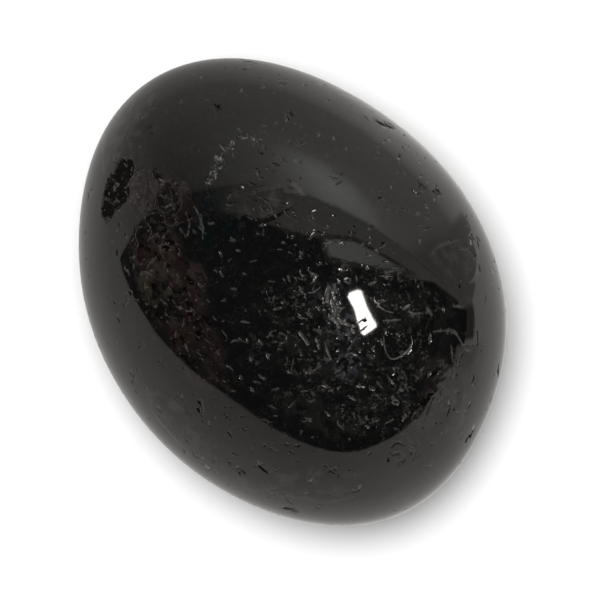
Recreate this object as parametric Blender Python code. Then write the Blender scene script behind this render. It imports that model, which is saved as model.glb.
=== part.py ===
"""Tumbled black tourmaline pebble, one solid of stone that rests on a small worn flat.

The stone lies with its length on X, its width on Y and its height on Z. The origin is on the flat that it rests
on, straight below the middle of the block. Lengths are in metres and angles in degrees. A place on the stone is
given by two angles seen from the middle of the block: its bearing round Z from +X, and its lift above level.
"""

import math
from typing import NamedTuple

import bpy
import numpy as np
from mathutils import Matrix, Vector

MM = 0.001

# The rounded block that tumbling left, before its softly worn faces are taken off
HALF_LENGTH = 15.5 * MM
HALF_WIDTH = 11.9 * MM
HALF_HEIGHT = 9.3 * MM

# The level of the flat that the stone rests on, below the middle of the block
REST_DEPTH = 8.55 * MM

# A sphere divided this often has 5120 faces, about 1 mm across on this stone
BLOCK_DIVISIONS = 5
LARGE_PIT_DIVISIONS = 3
SMALL_PIT_DIVISIONS = 2
LARGE_PIT = 1.2 * MM

# Room around the stone that the cutter of the resting flat fills
GROUND_MARGIN = 5.0 * MM

# How far the slope of the surface is measured from a point, as a share of the half height
SLOPE_STEP = 0.001

SHARP_EDGE = math.radians(35.0)
STONE_BLACK = (0.010, 0.0095, 0.009, 1.0)
STONE_ROUGHNESS = 0.08
STONE_IOR = 1.63


class WornFace(NamedTuple):
    """A broad side that tumbling wore down. Its depth fades to about a third at the spread away from its middle."""

    bearing: float
    lift: float
    spread: float
    depth: float


class Pit(NamedTuple):
    """A hollow shaped like half an ellipsoid. Its turn is the angle of its length from level, along the surface."""

    name: str
    bearing: float
    lift: float
    length: float
    width: float
    depth: float
    turn: float


WORN_FACES = (
    # Round the sides
    WornFace(17, 8, 26, 0.95 * MM),
    WornFace(137, -6, 40, 0.80 * MM),
    WornFace(-149, 10, 28, 0.60 * MM),
    WornFace(-35, -8, 31, 0.33 * MM),
    # On the top
    WornFace(100, 60, 34, 0.30 * MM),
    WornFace(-110, 56, 30, 0.30 * MM),
    WornFace(-20, 52, 28, 0.25 * MM),
    WornFace(170, 48, 28, 0.30 * MM),
    # On the underside
    WornFace(35, -46, 28, 0.80 * MM),
    WornFace(-100, -42, 28, 0.70 * MM),
    WornFace(160, -44, 26, 0.70 * MM),
    WornFace(-30, -50, 24, 0.45 * MM),
)

PITS = (
    # The deep pocket near one end, three hollows run together, and the shallow chip beside it
    Pit("pocket_middle", -154, 21.5, 2.4 * MM, 2.20 * MM, 0.60 * MM, 20),
    Pit("pocket_top", -160, 21.5, 1.7 * MM, 1.60 * MM, 0.48 * MM, 120),
    Pit("pocket_tail", -149, 20.5, 1.7 * MM, 1.30 * MM, 0.42 * MM, 175),
    Pit("chip", -162, 38, 2.0 * MM, 1.50 * MM, 0.16 * MM, 7),
    Pit("chip_hole", -165, 32, 0.8 * MM, 0.45 * MM, 0.20 * MM, 110),
    # The group of nicks on the far shoulder, and the groove near it
    Pit("nick_a", 93, 27, 0.8 * MM, 0.45 * MM, 0.20 * MM, 54),
    Pit("nick_b", 93, 31, 0.6 * MM, 0.35 * MM, 0.16 * MM, 41),
    Pit("nick_c", 89, 23, 0.7 * MM, 0.40 * MM, 0.16 * MM, 50),
    Pit("groove", 116, 15, 1.7 * MM, 0.35 * MM, 0.15 * MM, 29),
    # The curved scar on the top, in three strokes
    Pit("scar_a", 22, 51, 0.8 * MM, 0.35 * MM, 0.13 * MM, 53),
    Pit("scar_b", 21, 47, 0.9 * MM, 0.35 * MM, 0.13 * MM, 110),
    Pit("scar_c", 26, 45, 0.9 * MM, 0.35 * MM, 0.13 * MM, 164),
    # Dashes along the rim and the near flank
    Pit("rim_dash_a", 34, 7, 1.0 * MM, 0.30 * MM, 0.14 * MM, 47),
    Pit("rim_dash_b", 16, 9, 1.1 * MM, 0.35 * MM, 0.16 * MM, 163),
    Pit("flank_dash_a", -35, 13, 1.1 * MM, 0.35 * MM, 0.13 * MM, 178),
    Pit("flank_dash_b", -44, 27, 0.9 * MM, 0.30 * MM, 0.13 * MM, 157),
    Pit("flank_dash_c", -50, 23, 0.8 * MM, 0.30 * MM, 0.12 * MM, 170),
    Pit("flank_dash_d", -73, 36, 0.9 * MM, 0.30 * MM, 0.12 * MM, 123),
    Pit("end_pit_a", -173, 21, 0.8 * MM, 0.45 * MM, 0.16 * MM, 92),
    Pit("end_pit_b", 168, 26, 0.8 * MM, 0.35 * MM, 0.15 * MM, 95),
    Pit("end_pit_c", 146, 29, 0.6 * MM, 0.45 * MM, 0.16 * MM, 130),
    # The links of the healed crack
    Pit("crack_a", 163, 35, 0.9 * MM, 0.28 * MM, 0.12 * MM, 13),
    Pit("crack_b", 171, 37, 0.8 * MM, 0.28 * MM, 0.12 * MM, 30),
    Pit("crack_c", 176, 40, 0.9 * MM, 0.28 * MM, 0.12 * MM, 45),
    # Around the back and the underside
    Pit("under_pocket_a", 70, -32, 1.7 * MM, 1.00 * MM, 0.40 * MM, 20),
    Pit("under_pocket_b", 66, -27, 1.0 * MM, 0.70 * MM, 0.30 * MM, 120),
    Pit("under_chip", -60, -35, 1.9 * MM, 1.20 * MM, 0.22 * MM, 150),
    Pit("under_nick_a", 128, -22, 0.9 * MM, 0.50 * MM, 0.20 * MM, 70),
    Pit("under_nick_b", -118, -18, 1.1 * MM, 0.40 * MM, 0.16 * MM, 30),
    Pit("under_nick_c", 8, -28, 0.9 * MM, 0.45 * MM, 0.18 * MM, 100),
    Pit("under_nick_d", 175, -30, 1.2 * MM, 0.40 * MM, 0.16 * MM, 15),
)


def towards(bearing, lift):
    """The direction of a bearing and a lift, as a numpy vector."""
    bearing, lift = math.radians(bearing), math.radians(lift)
    level = math.cos(lift)
    return np.array([level * math.cos(bearing), level * math.sin(bearing), math.sin(lift)])


def surface_radius(directions):
    """How far the surface is from the middle of the block: the ellipsoid's radius less what each face has lost."""
    halves = np.array([HALF_LENGTH, HALF_WIDTH, HALF_HEIGHT])
    radius = 1.0 / np.sqrt(((directions / halves) ** 2).sum(axis=1))
    for face in WORN_FACES:
        away = np.degrees(np.arccos(np.clip(directions @ towards(face.bearing, face.lift), -1.0, 1.0)))
        radius -= face.depth * np.exp(-((away / face.spread) ** 2))
    return radius


def depth_outside(points):
    """How far each point lies outside the surface, along its line from the middle."""
    reach = np.linalg.norm(points, axis=1)
    return reach - surface_radius(points / reach[:, None])


def surface_frame(bearing, lift):
    """A point of the surface, with its level direction, its uphill direction and its outward normal."""
    direction = towards(bearing, lift)
    point = direction * surface_radius(direction[None])[0]
    steps = np.eye(3) * HALF_HEIGHT * SLOPE_STEP
    normal = Vector(depth_outside(point + steps) - depth_outside(point - steps)).normalized()
    level = Vector((-math.sin(math.radians(bearing)), math.cos(math.radians(bearing)), 0.0))
    level = (level - normal * level.dot(normal)).normalized()
    return Vector(point), level, normal.cross(level), normal


def new_collection(name):
    """A collection of this name, linked to the scene."""
    collection = bpy.data.collections.new(name)
    bpy.context.scene.collection.children.link(collection)
    return collection


def take_object(name, collection):
    """Names the object that was just added and moves it to the collection."""
    made = bpy.context.object
    made.name = made.data.name = name
    for holder in list(made.users_collection):
        holder.objects.unlink(made)
    collection.objects.link(made)
    return made


def stone_material():
    """Polished black stone, a dark dielectric."""
    material = bpy.data.materials.new("polished_black_stone")
    material.use_nodes = True
    shader = material.node_tree.nodes["Principled BSDF"]
    shader.inputs["Base Color"].default_value = STONE_BLACK
    shader.inputs["Metallic"].default_value = 0.0
    shader.inputs["Roughness"].default_value = STONE_ROUGHNESS
    shader.inputs["IOR"].default_value = STONE_IOR
    return material


def make_block(collection):
    """The worn block: a sphere whose points are moved out to the surface, then raised to stand on its flat."""
    bpy.ops.mesh.primitive_ico_sphere_add(subdivisions=BLOCK_DIVISIONS, radius=1.0)
    block = take_object("stone", collection)
    directions = np.empty(len(block.data.vertices) * 3, np.float32)
    block.data.vertices.foreach_get("co", directions)
    directions = directions.reshape(-1, 3).astype(np.float64)
    directions /= np.linalg.norm(directions, axis=1)[:, None]
    points = directions * surface_radius(directions)[:, None]
    points[:, 2] += REST_DEPTH
    block.data.vertices.foreach_set("co", points.astype(np.float32).ravel())
    block.data.update()
    return block


def make_pit_cutter(pit, collection):
    """An ellipsoid with its middle on the surface, its length turned along it and its depth along the normal."""
    divisions = LARGE_PIT_DIVISIONS if pit.length >= LARGE_PIT else SMALL_PIT_DIVISIONS
    bpy.ops.mesh.primitive_ico_sphere_add(subdivisions=divisions, radius=1.0)
    cutter = take_object("cut_" + pit.name, collection)
    point, level, uphill, normal = surface_frame(pit.bearing, pit.lift)
    turn = math.radians(pit.turn)
    along = level * math.cos(turn) + uphill * math.sin(turn)
    across = normal.cross(along)
    axes = Matrix((along * pit.length / 2, across * pit.width / 2, normal * pit.depth)).transposed()
    place = Matrix.Translation(point + Vector((0.0, 0.0, REST_DEPTH))) @ axes.to_4x4()
    cutter.data.transform(place)
    return cutter


def make_ground_cutter(collection):
    """A slab whose top is the level that the stone rests on."""
    bpy.ops.mesh.primitive_cube_add(size=1.0)
    cutter = take_object("cut_ground", collection)
    length = 2 * (HALF_LENGTH + GROUND_MARGIN)
    width = 2 * (HALF_WIDTH + GROUND_MARGIN)
    place = Matrix.Translation((0.0, 0.0, -GROUND_MARGIN / 2))
    cutter.data.transform(place @ Matrix.Diagonal((length, width, GROUND_MARGIN, 1.0)))
    return cutter


def hide_cutter(cutter):
    """Leaves a cutter out of the render and draws it as wire."""
    cutter.hide_render = True
    cutter.display_type = "WIRE"


def build():
    """Builds the stone, its cutters and its material."""
    for old in list(bpy.data.objects):
        bpy.data.objects.remove(old, do_unlink=True)
    stones = new_collection("tumbled_black_tourmaline")
    cutters = new_collection("cutters")
    stone = make_block(stones)
    hide_cutter(make_ground_cutter(cutters))
    for pit in PITS:
        hide_cutter(make_pit_cutter(pit, cutters))
    cuts = stone.modifiers.new("pits_and_rest", "BOOLEAN")
    cuts.operation = "DIFFERENCE"
    cuts.operand_type = "COLLECTION"
    cuts.collection = cutters
    cuts.solver = "EXACT"
    stone.data.materials.append(stone_material())
    stone.data.shade_smooth()
    stone.data.set_sharp_from_angle(angle=SHARP_EDGE)


build()
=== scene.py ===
"""The looks of a tumbled black tourmaline: its polished, pitted surface and a plain studio round it.

Lengths are in metres and angles in degrees unless a name says otherwise. A place on the stone is given either
by two angles seen from the middle of its block, the bearing round Z from +X and the lift above level, or by
how far it lies across and up as seen from straight above, with the long axis turned down to the right.
"""

import logging
import math
from dataclasses import dataclass
from enum import Enum

import bpy
import numpy as np
from mathutils import Matrix


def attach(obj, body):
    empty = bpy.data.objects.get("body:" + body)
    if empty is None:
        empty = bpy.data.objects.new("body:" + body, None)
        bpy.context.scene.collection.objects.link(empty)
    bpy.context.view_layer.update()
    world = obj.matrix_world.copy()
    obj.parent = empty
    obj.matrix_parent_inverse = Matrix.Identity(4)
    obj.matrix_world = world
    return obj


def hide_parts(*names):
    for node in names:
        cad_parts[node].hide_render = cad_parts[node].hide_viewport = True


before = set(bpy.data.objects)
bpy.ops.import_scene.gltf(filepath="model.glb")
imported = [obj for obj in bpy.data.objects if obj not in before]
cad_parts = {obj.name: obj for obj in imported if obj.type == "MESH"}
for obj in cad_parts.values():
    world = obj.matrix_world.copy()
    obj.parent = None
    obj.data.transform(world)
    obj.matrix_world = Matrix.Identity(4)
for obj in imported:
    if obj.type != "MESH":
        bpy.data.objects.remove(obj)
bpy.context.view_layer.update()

LOG = logging.getLogger("tumbled_stone")
MM = 0.001

Socket = bpy.types.NodeSocket
Colour = tuple[float, float, float, float]
# Paths of points, with a half width and a share of dust for each
Marks = tuple[list[np.ndarray], np.ndarray, np.ndarray]

# The view from above: its size in pixels, its scale at the stone's widest level, where the block's middle is
# in it, and how far the long axis turns down from level towards the lower right
VIEW_PIXELS = 600
PIXELS_PER_MM = 16.77
MIDDLE_IN_VIEW = (291.6, 289.7)
LONG_AXIS_TURN = 55.3

# Grooves and dots on the top, by their width in mm and how dusty they are, where a value over 1 is a
# painted glint: the path of each as across, up, across, up and so on in mm
TOP_MARKS: dict[tuple[float, float], tuple[tuple[float, ...], ...]] = {
    (0.13, 0.81): (
        (5.35, -2.75, 5.4, -3.5, 5.75, -4.1, 6.3, -3.95, 6.9, -3.45, 7.05, -3, 6.95, -2.7),
        (5.85, -6.6, 6.05, -6.35, 6.3, -6.6, 6.1, -6.75, 5.85, -6.6),
    ),
    (0.17, 0.81): (
        (6.8, -1.25, 7.1, -1.45, 7.55, -1.35), (6.85, -6.3), (1.05, 2.95, 1.35, 3.25),
        (2.65, -2.1, 2.85, -2.2), (-7.35, 1.6, -7.4, 1.25), (-8.55, 0.35, -8.55, 0),
        (-6.25, -1.7, -6.35, -2.15),
    ),
    (0.13, 0.72): (
        (5.3, -1.8, 5.75, -1.8, 6.3, -1.75), (9.5, -1, 10.1, -0.95), (2.15, -5.9, 2.45, -5.8),
        (6.45, 4.7, 6.8, 4.6), (7.35, 4.55, 7.6, 4.35),
    ),
    (0.11, 0.54): (
        (5, -0.95, 5.4, -1.25, 6.25, -1.4), (9.35, -3.25, 9.45, -4.25), (4.65, -3.5, 4.85, -3.25),
        (-1.6, 3.5, -1.65, 3.1),
    ),
    (0.21, 0.9): (
        (7.9, -1.1, 8.15, -1.45), (7.4, 0.2), (3.55, -4.5), (5, -5.4, 5.25, -5.7), (-1.4, -0.15),
        (2.45, 0.25, 2.65, -0.2), (0.5, -2.45, 0.7, -2.75, 1, -3.15),
    ),
    (0.17, 0.9): (
        (8.85, -1.05, 8.9, -1.3), (6.1, -2.55, 6.25, -2.7), (6.25, -5.85, 6.5, -5.85), (-1.5, 3.75),
        (0.95, 1.15, 1.2, 0.9, 1.55, 0.8), (-1, -1.15, -0.55, -1.05), (1, -1.3, 1.2, -1.65),
        (1.55, -3.15, 1.6, -3.3), (3.05, -1.85, 3.4, -2.1), (3.5, -2.05, 3.65, -2.15),
    ),
    (0.17, 0.63): (
        (7.5, -0.4), (5.2, -2.85, 5.25, -3.15), (4.95, -8), (4.05, -5.6), (7.95, -5.15, 8.15, -4.8),
        (-3.2, 2.3, -2.95, 2.2), (-0.2, 0.8, -0.1, 0.5), (-1.35, -2.75, -1.15, -2.45, -0.9, -2.4),
        (-2.4, -3.9, -2.3, -4.2), (-1.9, -4.95, -1.55, -5.25), (4.2, -5, 4.35, -5.05),
        (4.3, 1.25, 4.45, 1.2), (-4.15, 2.2, -4.05, 1.95), (-6, -0.15, -5.9, -0.35),
        (6.05, -9.65, 6.35, -9.5),
    ),
    (0.21, 0.72): ((8.1, -2.6, 8.05, -3.15),),
    (0.15, 0.68): ((8.3, -2.45, 9, -2.4, 9.55, -2.4, 9.8, -2.8, 10.05, -3.3),),
    (0.17, 0.72): (
        (10.2, -2.6), (10.5, -3.6, 10.65, -3.65), (9.85, -3.75, 9.9, -3.9),
        (0.45, 0.05, 0.6, -0.15, 0.85, -0.3), (-0.5, -0.7, -0.45, -0.85),
        (-2.95, -1.85, -2.75, -1.85, -2.45, -1.95), (-0.6, -3.1, -0.4, -3.1), (-6.55, 2.35, -6.5, 2.05),
        (-9.25, 1.45, -9.25, 1.2), (-6.75, -2.45, -6.8, -2.8), (-5.35, 0.35, -5.25, 0.1),
        (5.35, 1.6, 5.65, 1.55),
    ),
    (0.21, 0.63): ((8.75, -3.6), (7.45, -6.7), (3.8, -6), (5.95, -4.55, 6, -4.7)),
    (0.26, 0.72): ((9.15, -2.3, 9.6, -2.55), (4.35, -8, 4.55, -8.05)),
    (0.13, 0.45): (
        (3.15, -3.9, 3.4, -3.65, 3.8, -3.8), (0.25, 0.7, 0.3, 0.55), (0.6, 0.85, 0.65, 0.75),
        (-1.15, -5.9, -0.75, -5.75), (0.95, -5.35, 1.1, -5.25), (1.75, -5.55, 2.25, -5.7),
        (1.05, -4.9, 1.3, -4.7), (5.15, 0.8, 5.6, 0.75), (-1.35, -6.75, -0.9, -6.95),
        (-0.1, -6.85, 0.25, -6.5), (3.5, -7.1, 3.75, -7.6), (4.6, -7, 4.95, -6.8), (5.5, -7.8, 5.95, -7.6),
        (6.45, -7.65, 6.8, -7.4), (-3.7, -4.45, -3.4, -4.7), (-4.05, -2.35, -3.8, -2.7),
        (-4.55, -1.65, -4.35, -1.8), (-4.95, -0.55, -4.75, -0.75), (-4.2, 1.05, -3.95, 0.75),
        (-3.65, 1.65, -3.45, 1.85), (-2.35, 1.6, -2, 1.7), (-1.9, -2.9, -1.7, -3.2),
        (-4.1, -0.7, -3.8, -0.55), (-7.05, 3.7, -6.6, 3.95), (-7.65, -0.6, -7.25, -0.9),
        (-5.9, -1.05, -5.55, -1.4), (-6.8, -0.9, -6.5, -1.2), (-5.05, -2.9, -4.7, -3.15),
        (-6.25, -3.15, -6.05, -3.5), (-5.35, 8.15, -5.3, 8), (-9, 8.45, -8.9, 8.35),
        (7.3, -9.85, 7.55, -9.7), (9.1, -5.35, 9.3, -5.1, 9.4, -4.7), (-6.65, -6.25, -6.35, -6.4),
        (-5.75, -9.8, -5.45, -9.9), (-0.25, -12.2, 0.1, -12.3), (1.55, -12.65, 1.9, -12.65),
        (-0.35, -8.95, -0.15, -9.05), (-2.85, -8.05, -2.6, -8.2),
    ),
    (0.13, 0.54): (
        (3.05, -4.75, 3.15, -5.1), (7.55, -4.7, 7.75, -4.55), (-0.75, 2.35, -0.5, 2.3), (-0.2, 2.2, 0, 2.1),
        (2.55, -0.6, 2.75, -0.9), (-0.65, -2.5, -0.3, -2.7), (-0.8, -3.45, -0.55, -3.5),
        (-0.3, -4.7, 0.1, -4.95), (2.65, -5.75, 2.85, -5.7), (3.25, -6.15, 3.75, -6.45),
        (2.2, -1.45, 2.45, -1.8), (2.45, -1.1, 3.1, -1.05), (4.55, 0.35, 4.9, 0.45),
        (1.95, -7.1, 2.3, -7.4), (-4.35, -3.6, -4.1, -3.9), (-5.15, 3.4, -5.15, 2.9),
        (-5.75, 3.5, -5.55, 3.25), (-7.8, 2.5, -7.3, 2.7, -6.95, 2.4), (-8.25, 3, -7.85, 3.25),
        (-5.55, -3.6, -5.25, -3.85), (-1.15, 7.3, -1, 7.25), (1.2, 4.35, 1.3, 4.25),
    ),
    (0.11, 0.45): (
        (3.15, -3.85, 3.45, -3.2, 3.8, -2.7), (0.15, -3.95, 0, -4.65), (1.4, -4.65, 1.75, -4.4),
        (2.45, -4.9, 2.9, -4.65), (1.05, -6.65, 1.4, -6.35),
    ),
    (0.21, 0.81): ((6.6, -5.6, 6.8, -5.9), (4.9, 2.3, 5.05, 2.2)),
    (0.09, 0.45): ((4.55, -7.8, 5.1, -7.6),),
    (0.17, 0.54): (
        (2.95, -6.95, 3, -7.05), (3.35, -8.7, 3.4, -8.8), (6.2, -5.15, 6.25, -5.25), (8.55, -4.95),
        (5.5, -6.35), (-2.75, 0.95, -2.6, 0.85), (-1.9, -1.25, -1.75, -1.3), (-3, -5, -2.9, -5.2),
        (3.1, 0.5, 3.4, 0.35), (-8.45, 1.25, -8.25, 1.6, -7.9, 1.85), (6.75, -9.3, 7.1, -9.55),
        (6.3, -10.1, 6.6, -9.9), (7.8, -10.35, 8.15, -10.5), (9.55, -5.95, 9.8, -6.05),
        (2.8, 2.65, 3.1, 2.6),
    ),
    (0.13, 0.63): (
        (5.55, -5, 5.8, -5.3), (-0.5, 2.75, -0.4, 2.7), (0.45, -1.6, 0.65, -1.7), (0.55, -2, 0.7, -2),
        (-1.1, -3.05, -0.85, -3.05), (0.35, -4.05, 0.6, -4.05), (1.4, -2.8, 1.55, -3.05),
        (3.75, -5.6, 4.3, -5.65), (2.8, -1.3, 3, -1.1), (2.75, -1.65, 3, -2), (-5.25, 4.4, -5.3, 3.7),
        (7.85, 4.3, 8.1, 4.15), (7.75, 5.05, 7.95, 4.9),
    ),
    (0.11, 0.36): ((7, -4.95, 7.4, -5.2), (4.75, -5.95, 5.2, -6.4), (4.1, 2.2, 4.55, 1.85)),
    (0.17, 0.45): ((0.5, 1.9, 0.6, 1.8), (3.75, 0.85, 3.8, 0.45), (-8.85, 0.85, -8.5, 1.05, -8.15, 0.8)),
    (0.15, 0.54): (
        (-1.3, 0.5, -0.95, 0.45), (-2.2, -5.35, -1.8, -5.45), (0.55, -5.95, 0.95, -5.9),
        (6.9, -8.85, 7.2, -9.15),
    ),
    (0.15, 0.63): ((-3.5, 0.05, -3.2, 0), (-1.45, -3.75, -1.3, -4.05)),
    (0.15, 0.72): (
        (1.05, -0.2, 1.35, -0.15, 1.65, 0.1), (-3.55, -3.1, -3.2, -2.95, -2.85, -2.95, -2.6, -3.1),
        (1.95, -3.1, 2.05, -3.5, 2.3, -4.05),
    ),
    (0.3, 0.72): ((2.2, 0.2, 2.1, -0.35, 2.15, -0.75),),
    (0.15, 0.9): ((1.25, -3.55, 1.45, -3.6), (-0.95, 4.35, -0.85, 4.2)),
    (0.19, 0.72): ((-2.4, -5.7, -2.2, -5.95),),
    (0.15, 0.45): ((0.8, -7.45, 1.2, -7.7), (2.7, -7.85, 3.05, -8.15)),
    (0.19, 0.9): ((-2.9, 6, -2.75, 5.9),),
    (0.17, 0.36): ((9.4, -5.05, 9.65, -5.25),),
    (0.13, 0.36): ((9.5, -6.55, 9.7, -6.65),),
    (0.19, 0.35): ((5.86, -9.19, 6.21, -8.84, 6.57, -9.14), (6.34, -9.49, 6.7, -9.86, 6.47, -10.21)),
    (0.18, 0.3): ((6.93, -9.14, 7.29, -9.51, 7.12, -9.99),),
    (0.16, 0.3): ((6.05, -9.85, 6.29, -10.21), (7.4, -8.8, 7.58, -9.22)),
    (0.16, -0.25): ((5.75, -9.48, 5.99, -9.73),),
    (0.32, 0): ((8.67, -5.98, 8.5, -6.45), (8.26, -6.33, 7.91, -7.03, 7.74, -7.62)),
    (0.21, 0.15): ((9.28, -6.76, 9.11, -7.41),),
    (0.27, 0): (
        (8.1, -7.92, 7.75, -8.45), (-4.75, -6.31, -4.41, -7.01), (-1.72, 5.49, -0.67, 5.2),
        (-9.41, 6.42, -9.22, 5.83, -9.4, 5.25), (-8.81, 6.53, -8.5, 5.82, -8.74, 5.12),
    ),
    (0.16, 0.2): ((7.26, -7.14, 7.03, -7.6),),
    (0.21, 0.1): ((-5.34, -6.43, -5.17, -6.9, -5.23, -7.38),),
    (0.21, 0): ((-5.76, -6.68, -5.53, -7.15), (1.07, -9.64, 1.31, -10.12)),
    (0.19, 0): ((-7.69, -4.11, -7.51, -4.58), (-8.27, -2.35, -8.45, -2.82, -8.22, -3.29)),
    (0.21, 0.2): ((-9.57, -0.6, -9.82, -0.95),),
    (0.19, -0.35): ((-10.19, -1.66, -10.07, -1.89),),
    (0.18, -0.4): ((-3.49, -9.5, -3.14, -9.67), (11.03, 1.45, 11.08, 1.04)),
    (0.13, -0.2): ((-2.2, -10.32, -1.91, -10.38),),
    (0.18, -0.35): ((-0.45, -11.94, -0.21, -12.38, 0.14, -12.68),),
    (0.17, -0.4): ((-5.81, -9.56, -5.69, -9.86),),
    (0.16, 0): ((-1.39, -12.4, -0.68, -12.64), (-2.31, 10.39, -2.14, 10.03)),
    (0.18, 0.2): ((2.24, -10.53, 2.6, -10.77),),
    (0.16, 0.15): ((3.54, -11.87, 4.01, -11.75),),
    (0.08, -0.4): ((3.9, -1.93, 4.31, -1.64),),
    (0.09, -0.4): ((4.02, -2.39, 4.43, -2.1),),
    (0.32, 0.55): ((2.4, -0.71, 2.63, -1.17, 2.45, -1.64),),
    (0.21, 0.4): ((2.22, -1.46, 2.8, -2.04),),
    (0.3, 2): ((-2.82, 5.96),),
    (0.27, -0.9): ((-3.05, 5.79, -3.4, 5.55, -3.69, 5.26),),
    (0.21, -0.5): ((-2.47, 6.2, -2.12, 6.02),),
    (0.17, 1.7): ((-1.54, 3.75),),
    (0.21, 1.6): ((7.35, 0.16),),
    (0.23, 1.9): ((3.5, -4.54),),
    (0.24, 1.5): ((8.83, -1.18),),
    (0.24, 1.35): ((7.88, -1.36),),
    (0.16, 1.3): ((8.29, -1.76), (6.12, -0.89)),
    (0.21, 1.2): ((6.88, -0.89, 6.47, -1.12),),
    (0.13, 1.2): ((-4.17, 8.43, -3.94, 8.13), (-7.86, 6.58, -7.44, 6.34), (-10.57, 6.92)),
    (0.25, 0): ((-2.59, 5.38, -1.83, 4.91, -1.54, 4.5),),
    (0.11, 0.25): ((-1.95, 5.44, -1.25, 5.03, -1.02, 4.39),),
    (0.13, 0): (
        (0.49, 4.91, 0.89, 4.51), (-9.09, 4.77, -8.55, 4.42, -7.9, 4.53), (10.05, 1.62, 10.22, 1.15),
        (9.59, 3.62, 10.02, 3.39, 10.25, 2.92),
    ),
    (0.13, 0.3): ((-0.38, 4.5, -0.09, 4.21),),
    (0.21, -0.9): ((-8.09, 6.64, -7.62, 6.69, -7.2, 6.39),),
    (0.16, -0.55): ((-7.2, 6.39, -6.67, 5.92, -6.37, 5.22, -6.49, 4.63, -6.9, 4.29),),
    (0.12, 0.5): ((-7.2, 6.04, -6.96, 5.46, -6.96, 4.87), (-5.43, 3.7, -4.97, 3.23)),
    (0.12, 0.35): ((-8.27, 6.88, -8.63, 7.12, -9.11, 6.89), (-6.49, 3.59, -6.13, 3)),
    (0.13, 0.25): ((-8.27, 6.11, -7.91, 5.46, -8.02, 4.76),),
    (0.13, -0.4): ((-7.55, 3.94, -6.96, 3.7, -6.37, 3.93), (10.88, -2.42, 10.95, -3.25, 10.7, -3.36)),
    (0.12, 0.3): ((-8.49, 3.95, -8.14, 3.48, -8.37, 2.9),),
    (0.12, -0.3): ((-8.97, 3.72, -9.21, 3.14, -8.97, 2.67),),
    (0.14, 0.5): ((-6.14, 4.52, -5.9, 3.82, -6.02, 3.12),),
    (0.16, 0.6): (
        (-5.67, 4.86, -5.32, 4.28, -5.08, 3.46), (0.31, 8.67, 0.66, 8.49), (9.16, 2.91, 9.4, 2.74),
    ),
    (0.17, -1): ((-10.52, 7.52, -10.14, 7.39, -9.96, 6.91),),
    (0.16, -1): ((-11.04, 5.52, -11.16, 4.93, -10.91, 4.45),),
    (0.13, 1.1): ((-10.68, 5.86),),
    (0.12, 1.2): ((-10.3, 5.26),),
    (0.11, 1.2): ((-10.07, 6.67),),
    (0.16, 1): ((-0.09, 10.34),),
    (0.24, -0.4): ((-0.15, 10.52, 0.08, 10.1),),
    (0.16, -0.5): ((-1.14, 7.31, -0.73, 7.19),),
    (0.16, 0.35): ((0.08, 8.73, 0.43, 8.31, 0.84, 8.55),),
    (0.19, -0.5): ((2.58, 6.85, 2.93, 6.68),),
    (0.16, 0.5): ((2.23, 6.56, 2.7, 6.32),),
    (0.17, -0.3): ((3.06, 8.27),),
    (0.14, -0.55): ((5.46, 9.97, 5.82, 9.8, 6.18, 9.51),),
    (0.16, -0.3): ((-4.43, 10.87, -4.36, 10.39, -4.42, 9.91),),
    (0.14, 0): ((-4.61, 11.12, -4.14, 11.11), (9.04, 3.14, 9.21, 2.56)),
    (0.13, 0.7): ((-3.13, 9.43, -2.83, 9.14),),
    (0.11, 0.4): ((-3.69, 4.86, -3.23, 5.03),),
    (0.18, -0.55): ((10.88, 3.11, 11.13, 2.88),),
    (0.21, 0.8): ((7.49, 3.01, 7.43, 2.66),),
    (0.11, -0.3): ((9.87, 2.33, 10.49, 2.39, 10.79, 1.86),),
    (0.14, -0.3): ((11.44, -0.31, 11.37, -0.72),),
    (0.17, 0.8): ((9.49, -0.95, 10.09, -1.01),),
    (0.19, 0.45): ((10.03, -3.24, 10.7, -3.3),),
    (0.16, 0.9): ((10.21, -3.53, 10.58, -3.65),),
    (0.14, 0.3): ((9.97, -3.88, 9.74, -4.47, 10.04, -4.35),),
    (0.11, 0): ((8.26, 2.9, 8.67, 2.32, 8.54, 1.62),),
    (0.13, 0.4): ((7.79, 3.49, 8.15, 3.61),),
}


class Relief(Enum):
    """The kinds of larger hollow, named for their shape."""

    BOWL = "bowl"
    CREASE = "crease"
    CHIP = "chip"
    CRESCENT = "crescent"


class Area(Enum):
    """The areas of the surface that carry a tint or more specks, each kept as an attribute of the mesh."""

    BROWN = "brown_area"
    OLIVE = "olive_area"
    FIBRE = "fibre_area"
    TEAL = "teal_area"
    GREEN = "green_area"
    # A painted glare: a pale bluish haze of light round the window's highlight
    PAINTED_GLARE = "painted_glare_area"
    CLOUD = "cloud_area"
    SPECKLE = "speckle_area"
    CLEAR = "clear_area"
    UNEVEN = "uneven_area"


@dataclass(frozen=True)
class WornFace:
    """A broad side that tumbling wore down. Its depth fades to about a third at the angle of its spread."""

    bearing: float
    lift: float
    spread: float
    depth: float


@dataclass(frozen=True)
class Hollow:
    """One of the larger hollows. Its turn is the angle of its length from level, along the surface."""

    bearing: float
    lift: float
    length: float
    width: float
    depth: float
    turn: float
    relief: Relief = Relief.BOWL


@dataclass(frozen=True)
class Patch:
    """An oval area, sized in mm. Its turn is the angle of its length from level, along the surface."""

    bearing: float
    lift: float
    length: float
    width: float
    turn: float


@dataclass(frozen=True)
class Tint:
    """A colour of one kind of area, broken up by noise: none under its low value, full over its high one."""

    area: Area
    colour: Colour
    grain: float
    low: float
    high: float
    share: float = 1.0
    stretch: tuple[float, float, float] = (1.0, 1.0, 1.0)
    detail: float = 3.0


@dataclass(frozen=True)
class Grain:
    """A pattern of noise: its scale in cycles per metre, and the values eased to the start and the end."""

    scale: float
    low: float
    high: float
    detail: float = 2.0
    start: float = 0.0
    end: float = 1.0


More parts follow.
